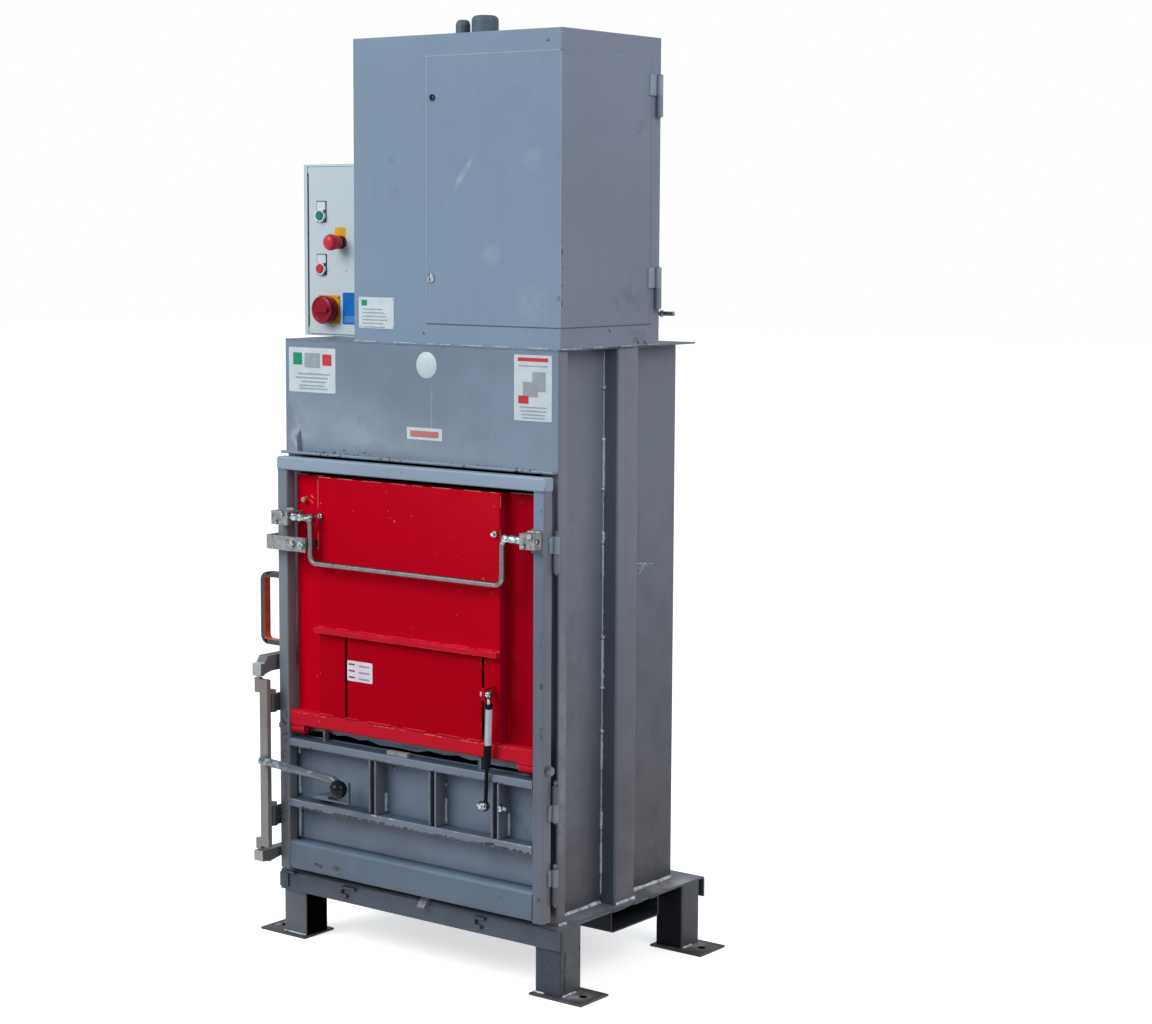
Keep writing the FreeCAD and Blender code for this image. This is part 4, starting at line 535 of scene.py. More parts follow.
# faces of a node that carry another paint: (paint, test on the facet)
FACE_LOOKS = {
    "chamber_walls": [(GREY, lambda f: f.ny > FACING or f.nx < -FACING)],
    # the stiffeners' front faces carry painted shade
    "side_stiffeners": [(STIFF_SHADE, looks_front)],
    "hood_shell": [(HOODSIDE, lambda f: f.nx > FACING or f.y > 0),
                   (ZINC, lambda f: f.x > 405.5 and f.z < 1498.5 and f.y > 92)],
    "hood_hatch": [(HOODSIDE, looks_right), (HINGE_LIGHT, lambda f: f.x > 405.59)],
    # platform top faces, with painted highlights
    "platform": [(LIPTOP_HIGHLIT, lambda f: f.nz > FACING),
                 (PALE, lambda f: 25.5 < f.x < 47.5 and f.y < -277.5),
                 (LEVER, lambda f: f.y < -277.8 and (-230 < f.x < -165 or 170 < f.x < 220))],
    # the tray's right fold face carries painted shade
    "flap_cover": [(RED_SHADE_AND_DARK, lambda f: f.nx > FACING and f.x > 270),
                   (RED_RIB, lambda f: f.y < -306.2 and f.z > 745)],
    "flap_beam": [(RED_RIB, lambda f: f.nz > 0.5)],
    "control_fittings": [(YELLOW, lambda f: f.z < 1520),
                         (BEZEL, lambda f: f.x < -410 and f.y < -106.5 and f.z > 1530),
                         (DARK, lambda f: f.x > -390)],
    # the anchor holes' walls: painted shadow
    "foot_plates": [(LEG_SHADOW, lambda f: abs(f.nz) < 0.5 and abs(abs(f.x) - 450) < 9.5
                     and abs(abs(f.y) - 231) < 9.5)],
    "lock_lever": [(BALL, lambda f: math.dist(f[:3], (-148.2, -367, 406)) < 22.5)],
    "door_handle": [(ORANGE, lambda f: abs(f.ny) < 0.6
                     and f.nx * (-405 - f.x) + f.nz * (789 - f.z) > 12)],
    "stop_bar": [(ZINC, lambda f: f.y < -340.3),
                 (BURNT, lambda f: f.y > -331.5 and f.x > -330)],
    "door_stile_right": [(STILE_SIDE, looks_right)],
    # the bottom rail's bend carries a painted highlight
    "door_bottom_rail": [(RAIL_BEND_HIGHLIGHT, lambda f: f.nz > 0.6)],
    "lower_panel": [(LEVER_ARM, lambda f: -289 < f.x < -239 and f.y < -273.5
                     and 352 < f.z < 368)],
    "cross_bar": [(BURNT, lambda f: f.nz < -0.4)],
    "bail_bearings": [(ZINC, lambda f: f.y < -344.5)],
    "bail_handle": [(ZINC, lambda f: f.x < -279 or (f.x > 300.5 and f.z > 1004))],
    "strut_rod": [(STRUT, lambda f: f.z > 427)],
    "strut_tube": [(ZINC, lambda f: f.z > 652)],
    "flap_bolts": [(PRIMER, lambda f: f.x < -300)],
    "front_header": [(HEADLIP, lambda f: f.z < 1161.5 or (f.y < -265.2 and f.x < -353))],
    # the ledges' top faces carry painted shade
    "door_ledges": [(LEDGE_TOP_SHADE, lambda f: f.nz > 0.8)],
    "flap_pivot_bolts": [(RED_SHADE_AND_DARK, lambda f: -370 < f.x < -300)],
    # legs: painted light on the front-left leg's front, painted shade on the shaded sides and
    # fronts
    "leg_front_left": [(LEG_SHADOW, looks_right), (LEG_FRONT_LIT, looks_front)],
    "leg_front_right": [(LEG_CORNER_SHADE, looks_front)],
    "leg_rear_right": [(LEG_DEEP_SHADE, looks_front), (LEGDIM, looks_right)],
    "leg_rear_left": [(LEG_DEEP_SHADE, lambda f: looks_front(f) or looks_right(f))],
    "control_box": [(BOXRIM, lambda f: looks_front(f) and f.x < -480)],
    "keeper_arms": [(KEEPER_END, lambda f: f.y < -340)],
    "lock_bar": [(BAR_FRONT, lambda f: abs(f.z - 430.5) < 170),
                 (KEEPER_END, lambda f: abs(f.z - 430.5) >= 170 and f.x < -405.2)],
}
for number, web in ((1, -88), (2, 92), (3, 272)):
    NODE_LOOKS[f"strap_guide_{number}"] = (DOOR, 0.8)
    FACE_LOOKS[f"strap_guide_{number}"] = [
        (GUIDE_EDGE, looks_front),
        (GUIDE_SIDE, lambda f, web=web: f.nx > FACING and f.x > web)]
FACE_LOOKS["strap_guide_3"].append((ZINC, lambda f: f.x > 275.2 or f.x < 252.5))
node_body = {member: body_name
             for body_name, members in frame["record"]["behaviour"]["bodies"].items()
             for member in members}


def smooth(mesh, degrees):
    mesh.polygons.foreach_set("use_smooth", [True] * len(mesh.polygons))
    mesh.set_sharp_from_angle(angle=math.radians(degrees))


def drawn_area(mesh):
    mesh.calc_loop_triangles()
    return sum(t.area for t in mesh.loop_triangles)


SHARP = 38  # degrees between two faces from which their edge is softened
AREA_CHANGE = 0.03  # softening that changes a node's area by more than this has failed


def softened(source, node, width, merge_flats):
    bm = bmesh.new()
    bm.from_mesh(source.data)
    bmesh.ops.remove_doubles(bm, verts=bm.verts, dist=2e-6)
    if merge_flats:
        bmesh.ops.dissolve_limit(bm, angle_limit=math.radians(0.6), verts=bm.verts,
                                 edges=bm.edges, delimit={"NORMAL"})
    mesh = bpy.data.meshes.new(node + "_soft")
    bm.to_mesh(mesh)
    bm.free()
    smooth(mesh, SHARP)
    obj = place(node + "_soft", mesh)
    if width:
        bevel = obj.modifiers.new("bevel", "BEVEL")
        bevel.limit_method, bevel.angle_limit = "ANGLE", math.radians(SHARP)
        bevel.width, bevel.segments = width * MM, 2
        bevel.use_clamp_overlap = bevel.harden_normals = True
        depsgraph = bpy.context.evaluated_depsgraph_get()
        obj.data = bpy.data.meshes.new_from_object(obj.evaluated_get(depsgraph))
        obj.modifiers.clear()
    return obj


def dress(node, material, width):
    """Give a CAD node its paint. Where its edges are softened or its faces carry several
    paints, a copy of its shape takes its place."""
    source = frame["nodes"][node]
    if not width and node not in FACE_LOOKS:
        source.data.materials.clear()
        source.data.materials.append(material)
        return
    wanted = drawn_area(source.data)
    for merge_flats in ((True, False) if width else (False,)):
        obj = softened(source, node, width, merge_flats)
        if abs(drawn_area(obj.data) / wanted - 1) < AREA_CHANGE:
            break
        if merge_flats:
            bpy.data.objects.remove(obj)
    mesh = obj.data
    mesh.materials.clear()
    mesh.materials.append(material)
    for other, belongs in FACE_LOOKS.get(node, ()):
        if other.name not in mesh.materials:
            mesh.materials.append(other)
        slot = mesh.materials.find(other.name)
        for face in mesh.polygons:
            if belongs(Facet(*(face.center / MM), *face.normal)):
                face.material_index = slot
    if not width:
        smooth(mesh, 40)
    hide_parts(node)
    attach(obj, node_body[node])


for node_name in frame["nodes"]:
    dress(node_name, *NODE_LOOKS[node_name])


# ------ small pieces
def finish(bm, name, body, material, degrees):
    bmesh.ops.recalc_face_normals(bm, faces=bm.faces)
    mesh = bpy.data.meshes.new(name)
    bm.to_mesh(mesh)
    bm.free()
    mesh.materials.append(material)
    smooth(mesh, degrees)
    obj = place(name, mesh)
    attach(obj, body)


def ring(bm, centre, u, v, radius, sides):
    turns = [math.tau * k / sides for k in range(sides)]
    return [bm.verts.new(centre + (u * math.cos(t) + v * math.sin(t)) * radius) for t in turns]


def loft(bm, rings):
    """Join rings of vertices in turn and close both ends; a ring of one vertex is a tip."""
    for a, b in zip(rings, rings[1:]):
        count = max(len(a), len(b))
        for k in range(count):
            n = (k + 1) % count
            if len(a) == 1:
                bm.faces.new((a[0], b[k], b[n]))
            elif len(b) == 1:
                bm.faces.new((a[k], a[n], b[0]))
            else:
                bm.faces.new((a[k], a[n], b[n], b[k]))
    for end in (rings[0], rings[-1]):
        if len(end) > 1:
            bm.faces.new(end)


RIPPLE, WANDER = 0.0035, 0.0009  # metres: pitch of a weld's ripples, drift off its line


def weld(name, body, start, end, radius, seed, material, coverage=1):
    """A hand-laid bead along a seam: overlapping ripples, wandering in width; with
    coverage under 1 it is stitched. Its runs and gaps are in metres."""
    rng = random.Random(seed)
    a, b = mm(*start), mm(*end)
    along = (b - a).normalized()
    side = along.orthogonal().normalized()
    across = along.cross(side)
    length = (b - a).length
    stitched = coverage < 1
    bm = bmesh.new()
    at = 0
    while at < length - 0.006:
        stop = min(length, at + (rng.uniform(0.025, 0.075) if stitched else length))
        ripples = max(4, int((stop - at) / RIPPLE))
        rings = []
        for i in range(ripples + 1):
            centre = a + along * (at + (stop - at) * (i / ripples))
            wobble = noise.noise(Vector((seed, centre.length * 90, 0)))
            size = radius * MM * (0.8 + 0.3 * abs(math.sin(i * 1.9)) + 0.35 * wobble)
            size *= 0.35 if i in (0, ripples) else 1
            centre = centre + (side * wobble + across * rng.uniform(-0.4, 0.4)) * WANDER
            rings.append(ring(bm, centre, side, across, size, 8))
        loft(bm, rings)
        at = stop + (rng.uniform(0.02, 0.06) * (1 / coverage - 0.4) if stitched else 0)
    finish(bm, name, body, material, 60)


def on_face(facing, level, height, u, v):
    """A point above a face that looks to the front (-Y) or right (+X), u across and v up."""
    return mm(u, level - height, v) if facing == "front" else mm(level + height, u, v)


def card(name, face, low, high, material, lift=0, thick=0.3):
    """A thin label or plate with rounded corners, between two corners of it on a face."""
    body, facing, level = face
    across, middle = (low[0] + high[0]) / 2, (low[1] + high[1]) / 2
    half_w, half_h = (high[0] - low[0]) / 2, (high[1] - low[1]) / 2
    r = min(1.2 if lift else 2.5, half_w * 0.4, half_h * 0.4)
    outline = []
    for cx, cz, first in ((half_w - r, half_h - r, 0), (r - half_w, half_h - r, 90),
                          (r - half_w, r - half_h, 180), (half_w - r, r - half_h, 270)):
        for turn in (math.radians(first + step * 30) for step in range(4)):
            outline.append((across + cx + r * math.cos(turn), middle + cz + r * math.sin(turn)))
    bm = bmesh.new()
    loft(bm, [[bm.verts.new(on_face(facing, level, height, u, v)) for u, v in outline]
              for height in (lift, lift + thick)])
    finish(bm, name, body, material, 30)


def turned(name, body, centre, axis, outline, material, sides):
    """A turned piece from (radius, distance) pairs along the Y or Z axis."""
    direction = {"y": Vector((0, 1, 0)), "z": Vector((0, 0, 1))}[axis]
    u = direction.orthogonal().normalized()
    v = direction.cross(u)
    bm = bmesh.new()
    rings = []
    for r, distance in outline:
        spot = mm(*centre) + direction * distance * MM
        rings.append(ring(bm, spot, u, v, r * MM, sides) if r else [bm.verts.new(spot)])
    loft(bm, rings)
    finish(bm, name, body, material, 35)


# a chip's least height, the step and count of the heights that keep any two off one plane, and
# how far a chip leans back per millimetre under the flat
CHIP_HEIGHT, CHIP_STEP, CHIP_HEIGHTS, LEAN = 0.18, 0.012, 20, 0.2


def flakes(name, face, start, end, size, count, limits, seed, material=CHIPPED):
    """Thin chips strewn in clusters along a line on a face, between two limits. Under the
    foot of the flat, the lower limit unless a third is given, they lean back."""
    body, facing, level = face
    lowest, highest, foot = (*limits, limits[0])[:3]
    rng = random.Random(seed)
    bm = bmesh.new()
    made = 0
    for _ in range(count * 20):
        if made == count:
            break
        t = rng.random()
        if noise.noise(Vector((t * 11, seed * 3.7, 0))) < rng.uniform(-0.35, 0.35):
            continue
        u, v = (first + (last - first) * t for first, last in zip(start, end))
        wide, tall = (axis * rng.uniform(0.35, 1.3) for axis in size)
        outline = []
        for turn in (math.tau * k / 8 for k in range(8)):
            reach = rng.uniform(0.45, 1)
            outline.append((u + wide * reach * math.cos(turn),
                            max(lowest, min(highest, v + tall * reach * math.sin(turn)))))
        lift = CHIP_HEIGHT + CHIP_STEP * (made % CHIP_HEIGHTS)
        loft(bm, [[bm.verts.new(on_face(facing, level, height - LEAN * max(0, foot - b), a, b))
                   for a, b in outline] for height in (0, lift)])
        made += 1
    finish(bm, name, body, material, 30)


# faces that carry small pieces: body, way they look, level
ON_DOOR = ("door", "front", -310)
ON_TRAY = ("flap", "front", -306)
ON_HEADER = ("frame", "front", -265)
ON_LIP = ("frame", "front", -277)
ON_LEG = ("frame", "right", 418)
ON_HOOD = ("frame", "front", -263)
ON_HATCH = ("hatch", "front", -263)
ON_HATCH_SIDE = ("hatch", "right", 405)
ON_BOX_RIM = ("frame", "front", -98.5)
ON_BOX_DOOR = ("box_door", "front", -104)
ON_BOX_CARD = ("box_door", "front", -106)
ON_HATCH_LOCK = ("hatch_lock_high", "front", -267)

FLAKES = [  # name, face, start, end, size, count, (lowest, highest[, foot of the flat])[, paint]
    ("ledge_low", ON_DOOR, (-330, 329), (362, 329), (4.8, 2.6), 90, (326, 341, 329)),
    ("ledge_low_right", ON_DOOR, (-215, 329), (-60, 329.5), (5.2, 3), 44, (326, 341, 329)),
    ("ledge_low_knot", ON_DOOR, (226, 329), (262, 333), (3.8, 3.8), 26, (326, 341, 329)),
    ("ledge_low_end", ON_DOOR, (286, 329), (340, 329), (5.2, 3), 16, (326, 341, 329)),
    ("ledge_high", ON_DOOR, (-350, 473.6), (362, 473.6), (3.6, 1.8), 36, (471, 486, 474)),
    ("header_lip", ON_HEADER, (-370, 1161.5), (395, 1161.5), (4, 1.2), 34, (1160.5, 1170)),
    ("leg_edge", ON_LEG, (-257, 22), (-255.5, 98), (4.2, 12), 26, (14, 104)),
    ("leg_spot", ON_LEG, (-203.6, 50), (-203.4, 108), (2, 9), 10, (14, 112)),
    ("lip_edge", ON_LIP, (-410, 150), (405, 150), (5, 1.2), 24, (116, 152)),
    ("stile_right", ON_DOOR, (390, 420), (390, 1080), (1, 4), 22, (180, 1110)),
    ("stile_left", ON_DOOR, (-381, 200), (-381, 560), (1.2, 3.6), 20, (180, 1110)),
    ("rail_low", ON_DOOR, (-275, 200), (-200, 198), (4, 2.2), 7, (180, 240)),
    ("guide_foot_1", ON_DOOR, (-105, 347), (-100, 352), (3, 4), 5, (345, 360)),
    ("guide_foot_2", ON_DOOR, (75, 347), (80, 352), (3, 4), 5, (345, 360)),
    ("beam_edge", ON_TRAY, (-345, 552), (350, 552), (6, 1.3), 46, (549.5, 552.9), RUBBED),
]
for seed, (name, face, start, end, size, count, limits, *material) in enumerate(FLAKES, 1):
    flakes("chips_" + name, face, start, end, size, count, limits, seed, *material)

# welds and thick beads of paint along the seams, and one dark line of painted shade; the end
# says where it differs from the start
SEAMS = [  # name, body, start, end, radius, material[, how much is covered]
    ("hood_front_a", "frame", (-186, -264, 1422), {"x": 60}, 2.6, WELD, 0.7),
    ("hood_front_b", "frame", (70, -264, 1422), {"x": 404}, 2.6, WELD, 0.8),
    ("hood_right", "frame", (406, -262, 1422), {"y": 98}, 2.6, WELD, 0.7),
    ("stiffener_front", "frame", (361, -48.5, 178), {"z": 1412}, 2, SEAM),
    ("stiffener_rear", "frame", (361, 31, 168), {"z": 1412}, 2, SIDE, 0.6),
    ("base_recess", "frame", (362, -228, 162), {"y": -50}, 4.4, BEAD),
    ("base_stiffener", "frame", (401, -46, 162), {"y": 29}, 4.4, BEAD),
    ("base_stiffener_end", "frame", (362, 33, 163), {"x": 398}, 4.2, BEAD),
    ("base_wall", "frame", (363, 34, 162), {"y": 226}, 4.8, BEAD),
    ("base_post", "frame", (402, -258, 162), {"y": -230}, 4.2, BEAD),
    ("leg_front", "frame", (344, -270, 110), {"x": 417}, 2.6, LIP),
    ("pan_left", "door", (-354, -276, 246), {"z": 320}, 4.4, CAULK),
    ("pan_left_high", "door", (-354, -276, 349), {"z": 466}, 3.8, CAULK, 0.8),
    ("flap_top_edge", "flap", (-262, -304, 1108.4), {"x": 274}, 1.3, PRIMER, 0.9),
    ("flap_top_left", "flap", (-354, -275, 1108.6), {"x": -266}, 1.2, PRIMER, 0.9),
    ("flap_top_right", "flap", (278, -275, 1108.6), {"x": 365}, 1.2, PRIMER, 0.7),
    ("tray_fold_left", "flap", (-262.5, -304.5, 940), {"z": 1104}, 1.5, LIGHTRED, 0.7),
    ("tray_fold_right", "flap", (274.5, -304.5, 980), {"z": 1104}, 1, LIGHTRED, 0.6),
    ("scratch_1", "frame", (360.3, 76, 922), {"y": 148, "z": 914}, 0.9, CAULK),
    ("scratch_2", "frame", (360.3, 90, 895.6), {"y": 119, "z": 924.4}, 0.9, CAULK),
    ("scratch_3", "frame", (360.3, 100, 924), {"y": 112, "z": 900}, 0.8, CAULK),
    ("scratch_4", "frame", (360.3, 112, 918), {"y": 134, "z": 907}, 0.8, CAULK),
    ("pan_left_low", "door", (-350, -276, 250), {"z": 322}, 2.4, PAN),
    ("guide_1_right", "door", (-84, -276, 346), {"z": 392}, 4.2, CAULK),
    ("guide_2_right", "door", (96, -276, 346), {"z": 440}, 3.4, CAULK, 0.9),
    ("guide_3_right", "door", (277, -276, 346), {"z": 400}, 3.8, CAULK),
    ("lug_1", "door", (-266, -289, 492), {"x": -260, "z": 510}, 2.6, DOOR),
    ("lug_2", "door", (203, -289, 492), {"z": 512}, 2.6, DOOR),
    ("rail_left", "door", (-358, -308, 1119), {"y": -284}, 2.2, RAIL),
    ("rail_joint_left", "door", (-386, -311, 1120), {"x": -358}, 1.3, STILE),
    ("rail_joint_right", "door", (369, -311, 1120), {"x": 397}, 1.3, STILE),
    ("low_rail_left", "door", (-357, -310, 180), {"z": 238}, 1.5, STILE),
    ("low_rail_right", "door", (368, -310, 180), {"z": 238}, 1.5, STILE),
    ("bearing_left", "flap", (-352, -318, 1030), {"x": -326}, 4, GALV),
    ("bearing_right", "flap", (360, -320, 1034), {"x": 396}, 3.6, GALV),
    ("sleeve_left", "bail", (-318, -339, 1018), {"x": -258, "z": 1017}, 3.4, ZINC),
    ("sleeve_right", "bail", (305, -338, 1017), {"x": 352, "z": 1016}, 3.2, ZINC, 0.9),
    ("lever_root", "lock", (-404, -358, 449), {"x": -380}, 3.4, KEEPER),
    ("handle_top", "door", (-388, -304, 876), {"y": -284}, 3, KEEPER),
    ("handle_foot", "door", (-388, -304, 702), {"y": -284}, 3, KEEPER),
    ("gusset", "frame", (-369, -270, 1162), {"z": 1198}, 2.4, HEADER),
    ("knuckle_left", "flap", (-352, -303, 523), {"x": -318}, 3.4, RED_RIB),
    ("knuckle_right", "flap", (324, -303, 523), {"x": 364}, 3.4, RED_RIB),
    ("rib_top", "flap", (-262, -308, 763), {"x": 274}, 2.4, RED_RIB, 0.9),
    ("beam_top", "flap", (-262, -307, 558), {"x": 274}, 2, RED_RIB, 0.9),
    ("tray_left", "flap", (-266, -278, 562), {"z": 1100}, 2.2, RED_RIB, 0.7),
    ("tray_right", "flap", (278, -278, 562), {"z": 1100}, 2.2, RED, 0.8),
    ("keeper_root", "frame", (-401, -263, 684), {"y": -242}, 3.4, KEEPER),
    # a dark line at the pan's foot, above the bottom rail's bend: painted shade
    ("rail_seam", "door", (-356, -275, 245.5), {"x": 366}, 1.5, SEAM_SHADE),
    ("foot_front", "frame", (344, -270, 6.5), {"x": 416}, 2.4, BEAD, 0.7),
    ("foot_side", "frame", (420, -266, 6.5), {"y": -196}, 2.6, BEAD, 0.9),
    ("foot_rear_side", "frame", (420, 196, 6.5), {"y": 266}, 2.6, BEAD, 0.9),
    ("foot_left_front", "frame", (-416, -270, 6.5), {"x": -344}, 2, BEAD, 0.6),
    ("fork_right", "frame", (419, -84, 156), {"y": 98}, 2, LIP, 0.9),
]
# the beads beside the stiffener: a short one is a whitish blob
for number, (low, high, size) in enumerate((
        (1324, 1334, 5), (1209, 1218, 4.8), (1106, 1211, 4), (1099, 1107, 5.2),
        (980, 1010, 4.8), (905, 980, 3.2), (766, 776, 5), (658, 767, 4), (652, 660, 5.2),
        (552, 561, 4.6), (466, 552, 3.2), (329, 372, 3.6), (226, 300, 3.2))):
    SEAMS.append((f"stiffener_bead_{number}", "frame", (362, -50, low), {"z": high},
                  size, BEAD if high - low < 12 else CAULK))
for seed, (name, body, start, changed, radius, material, *coverage) in enumerate(SEAMS):
    end = [changed.get(axis, value) for axis, value in zip("xyz", start)]
    weld("weld_" + name, body, start, end, radius, seed, material, *coverage)

# labels: plain shapes only; also narrow lines along the hood hatch's seams, the light ones
# painted highlight and the dark ones painted shade, and a dark strip of painted shade in the
# control box's gap
LABELS = [  # name, face, low corner, high corner, material, lift over the face, thickness
    ("label_left", ON_HEADER, (-389, 1299), (-243, 1402), WHITE),
    ("label_left_green", ON_HEADER, (-375, 1362), (-347, 1390), INK_GREEN, 0.4),
    ("label_left_red", ON_HEADER, (-283, 1362), (-255, 1388), INK_RED, 0.4),
    ("label_left_middle", ON_HEADER, (-339, 1356), (-291, 1390), INK_GREY, 0.4),
    ("label_right", ON_HEADER, (280, 1266), (383, 1408), WHITE),
    ("label_right_head", ON_HEADER, (290, 1394), (373, 1402), INK_RED, 0.4),
    ("label_right_block", ON_HEADER, (330, 1330), (366, 1372), INK_GREY, 0.4),
    ("label_right_block_low", ON_HEADER, (305, 1318), (345, 1350), INK_GREY, 0.42),
    ("label_right_spot", ON_HEADER, (292, 1303), (320, 1320), INK_RED, 0.46),
    ("label_small", ON_HEADER, (-27, 1208), (76, 1235), WHITE),
    ("label_small_band", ON_HEADER, (-17, 1214), (66, 1228), INK_PINK, 0.4),
    ("label_flap", ON_TRAY, (-174, 647), (-97, 694), ROSY),
    ("label_hood", ON_HOOD, (-171, 1452), (-66, 1522), WHITE, 0, 0.8),
    ("label_hood_green", ON_HOOD, (-163, 1503), (-146, 1516), INK_GREEN, 0.9),
    ("label_box_blue", ON_BOX_DOOR, (-367, 1450), (-317, 1525), BLUE),
    ("label_box_band", ON_BOX_DOOR, (-363, 1454), (-320, 1470), SKY, 0.3),
    ("label_stop", ON_BOX_DOOR, (-391, 1651), (-356, 1678), YELLOW),
    ("label_green_button", ON_BOX_CARD, (-446, 1719), (-419, 1738), WHITE),
    ("label_red_button", ON_BOX_CARD, (-446, 1594), (-419, 1613), WHITE),
    # painted highlight along the hatch's left and top edges and its corner, painted shade under
    # its foot
    ("hatch_edge_left", ON_HATCH, (29.2, 1466), (32.2, 2051), EDGE_HIGHLIGHT, 0.1),
    ("hatch_edge_top", ON_HATCH, (29.2, 2048.8), (400, 2051.6), EDGE_HIGHLIGHT, 0.12),
    ("hatch_edge_foot", ON_HATCH, (29.2, 1465.6), (400, 1468.2), SEAM_SHADE, 0.12),
    ("hatch_edge_side_top", ON_HATCH_SIDE, (-258, 2048.8), (66, 2051.4), EDGE_HIGHLIGHT, 0.24),
    ("hatch_edge_side_foot", ON_HATCH_SIDE, (-258, 1465.8), (66, 1468), SEAM_SHADE, 0.24),
    ("hatch_edge_rear", ON_HATCH_SIDE, (62.6, 1467), (66.2, 2050), HOODSIDE, 0.2),
    ("hatch_corner_light", ON_HATCH, (402.4, 1470), (404.6, 2048), EDGE_HIGHLIGHT, 0.1),
    # a dark strip in the gap beside the control box's door: painted shade
    ("box_gap_shade", ON_BOX_RIM, (-482.6, 1470), (-476.6, 1800), DARK, 0.1),
    ("hatch_lock_slot", ON_HATCH_LOCK, (44.6, 1955), (51.4, 1967), BALL),
]
for z in (1340, 1331, 1322, 1313, 1306):
    LABELS.append((f"label_left_line_{z}", ON_HEADER, (-372 + (z % 7) * 4, z),
                   (-262 - (z % 5) * 5, z + 3.2), INK_GREY, 0.4))
for number, z in enumerate((1383, 1294, 1286, 1278, 1271)):
    LABELS.append((f"label_right_line_{number}", ON_HEADER, (292 + number * 3, z),
                   (371 - number * 2, z + 2.6), INK_GREY, 0.4))
for number, z in enumerate((684, 669, 654)):
    LABELS += [(f"label_flap_mark_{number}", ON_TRAY, (-169, z), (-151, z + 3.5), MAROON, 0.4),
               (f"label_flap_line_{number}", ON_TRAY, (-138, z - 2), (-106, z + 2), INK_GREY,
                0.4)]
for number in range(6):
    z = 1500 - number * 8
    LABELS.append((f"label_hood_line_{number}", ON_HOOD, (-160, z - 6),
                   (-100 + (number * 5) % 17, z - 3.6), INK_GREY, 0.9))
for label in LABELS:
    card(*label)
turned("label_oval", "frame", (31, -265, 1375), "y", [(0, -0.3), (29, -0.3), (29.5, 0), (0, 0)],
       WHITE, 40)

# the white label wrapped round the strut's case, with its dark edge: four corners of its
# section, as a share of the strut's length and a radius, swept round by steps
STRUT_TOP, STRUT_FOOT = Vector((268, -335, 672)), Vector((240, -312, 415))
SECTION = ((0.125, 8.72), (0.125, 8.42), (0.445, 8.42), (0.445, 8.72))
STEPS = 12
strut = STRUT_FOOT - STRUT_TOP
across = strut.cross(Vector((0, 1, 0))).normalized()
toward = strut.normalized().cross(across)
for name, first, last, material in (("strut_label", -18, 96, WHITE),
                                    ("strut_label_edge", 96, 140, NAVY)):
    bm = bmesh.new()
    sections = []
    for step in range(STEPS + 1):
        turn = math.radians(first + (last - first) * step / STEPS)
        outward = across * math.cos(turn) + toward * math.sin(turn)
        sections.append([bm.verts.new((STRUT_TOP + strut * share + outward * radius) * MM)
                         for share, radius in SECTION])
    loft(bm, sections)
    finish(bm, name, "strut_case", material, 30)

# screws, rivets and dots: name, body, centre, radius, material
SMALL_SIDES = 20
DOME = [(1, 0), (1, -0.35), (0.75, -0.8), (0.4, -1), (0, -1.05)]
DOTS = [
    ("hood_bolt", "frame", (398, -263, 1531), 4.4, STEEL),
    ("hood_plug", "frame", (366, -263, 2073), 4.5, HOOD),
    *((f"plate_rivet_{number}", "frame", (x, -263.8, z), 2.2, ZINC)
      for number, (z, x) in enumerate(product((1518, 1456), (-167, -70)), 1)),
    ("box_dot", "box_door", (-357, -104, 1578), 2.6, ZINC),
    ("switch_screw_1", "box_door", (-380, -106, 1512), 2.4, DARK),
    ("switch_screw_2", "box_door", (-380, -106, 1456), 2.4, DARK),
    ("ledge_bolt", "door", (-62, -273, 452), 5, PIN),
]
for name, body, centre, size, material in DOTS:
    turned(name, body, centre, "y", [(r * size, d * size * 0.7) for r, d in DOME],
           material, SMALL_SIDES)
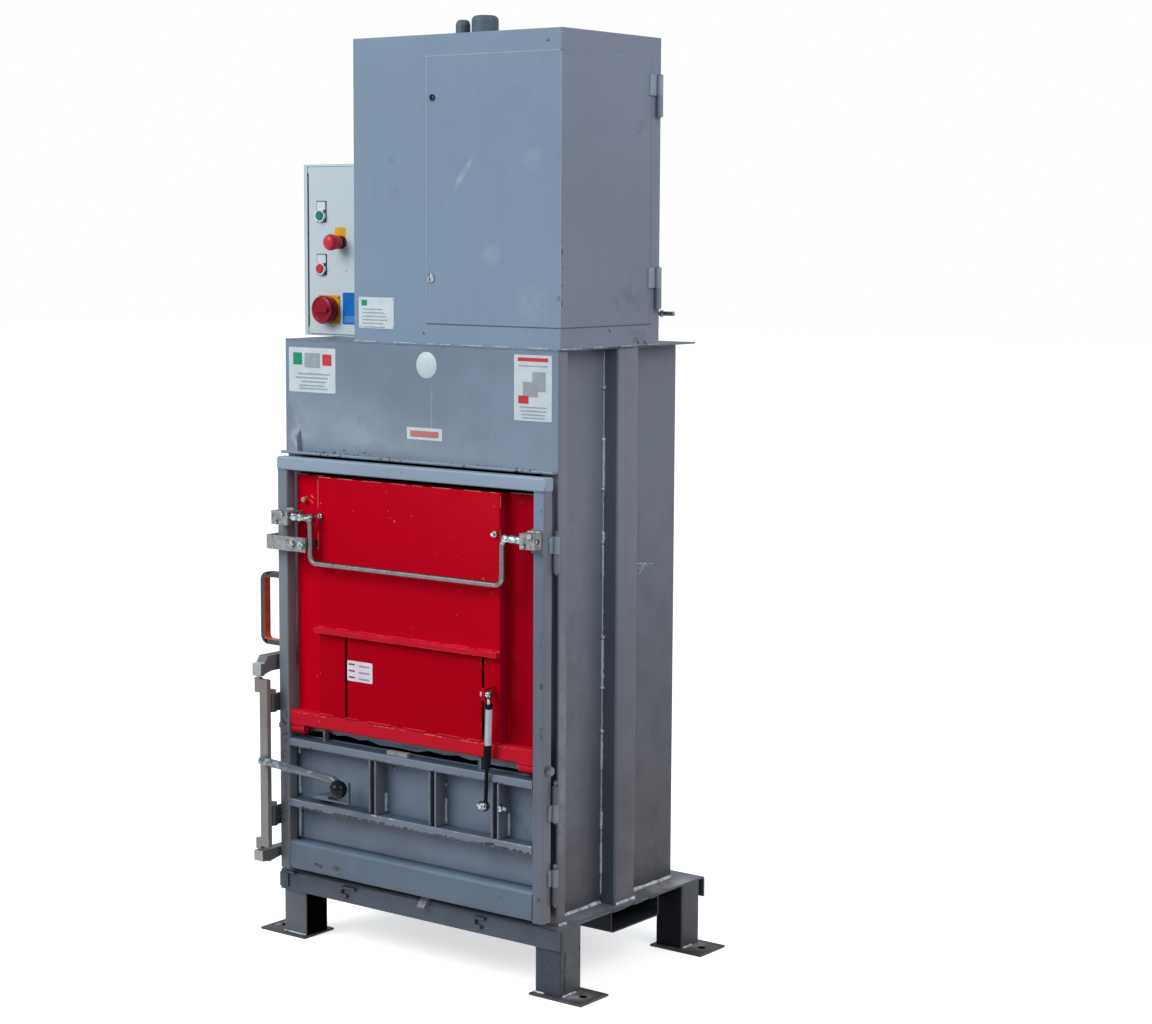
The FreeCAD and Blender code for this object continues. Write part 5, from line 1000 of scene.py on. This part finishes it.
# dark discs at the bottom of the feet's anchor holes: painted shadow
for number, (y, x) in enumerate(product((-231, 231), (-450, 450)), 1):
    turned(f"anchor_hole_shadow_{number}", "frame", (x, y, 0), "z",
           [(0, 0.3), (8.5, 0.3), (8.5, 1.8), (6.8, 1), (0, 0.7)], LEG_SHADOW, SMALL_SIDES)
for number, x in enumerate((-252, 263), 1):
    turned(f"tray_bolt_end_{number}", "flap", (x, -311.5, 1020), "y",
           [(4.4, 0), (4.4, -7.5), (3.6, -8.8), (0, -8.8)], BEZEL, 16)

# ------ light and floor
bm = bmesh.new()
bmesh.ops.create_grid(bm, x_segments=1, y_segments=1, size=30)
mesh = bpy.data.meshes.new("floor")
bm.to_mesh(mesh)
bm.free()
floor = place("floor", mesh)
floor.location.z = -0.5 * MM
g = Graph("pale_floor")
seen = g.calc("MAXIMUM", g.node("LightPath", {}, "Is Camera Ray"),
              g.node("LightPath", {}, "Is Glossy Ray"))
g.set(Base_Color=g.mix(seen, (0.16, 0.16, 0.17), (0.9, 0.9, 0.9)), Roughness=0.8)
glow = g.node("Emission", {0: (1, 1, 1), 1: g.times(seen, 0.62)})
g.put(g.out.inputs[0], g.node("AddShader", {0: g.shader.outputs[0], 1: glow}))
mesh.materials.append(g.material)

world = bpy.data.worlds.new("studio")
scene.world = world
world.use_nodes = True
nodes, links = world.node_tree.nodes, world.node_tree.links
nodes.clear()
ray = nodes.new("ShaderNodeLightPath")
shown = nodes.new("ShaderNodeMixShader")
links.new(ray.outputs["Is Camera Ray"], shown.inputs[0])
for number, (colour, strength) in enumerate((((0.86, 0.93, 1, 1), 0.62), ((1, 1, 1, 1), 1))):
    sky = nodes.new("ShaderNodeBackground")
    sky.inputs[0].default_value = colour
    sky.inputs[1].default_value = strength
    links.new(sky.outputs[0], shown.inputs[number + 1])
links.new(shown.outputs[0], nodes.new("ShaderNodeOutputWorld").inputs[0])


def lamp(name, at, target, size, power, colour):
    """A square lamp; places and size in metres, power in watts."""
    data = bpy.data.lights.new(name, "AREA")
    data.shape, data.size, data.energy, data.color = "SQUARE", size, power, colour
    obj = place(name, data)
    obj.location = at
    obj.rotation_euler = (Vector(target) - Vector(at)).to_track_quat("-Z", "Y").to_euler()


lamp("key", (-1.6, -3.6, 3.6), (0, -0.2, 1.3), 2.6, 150, (0.93, 0.97, 1))
lamp("fill", (3.6, -0.6, 3.2), (0.3, 0, 1.2), 2.4, 60, (1, 0.95, 0.9))
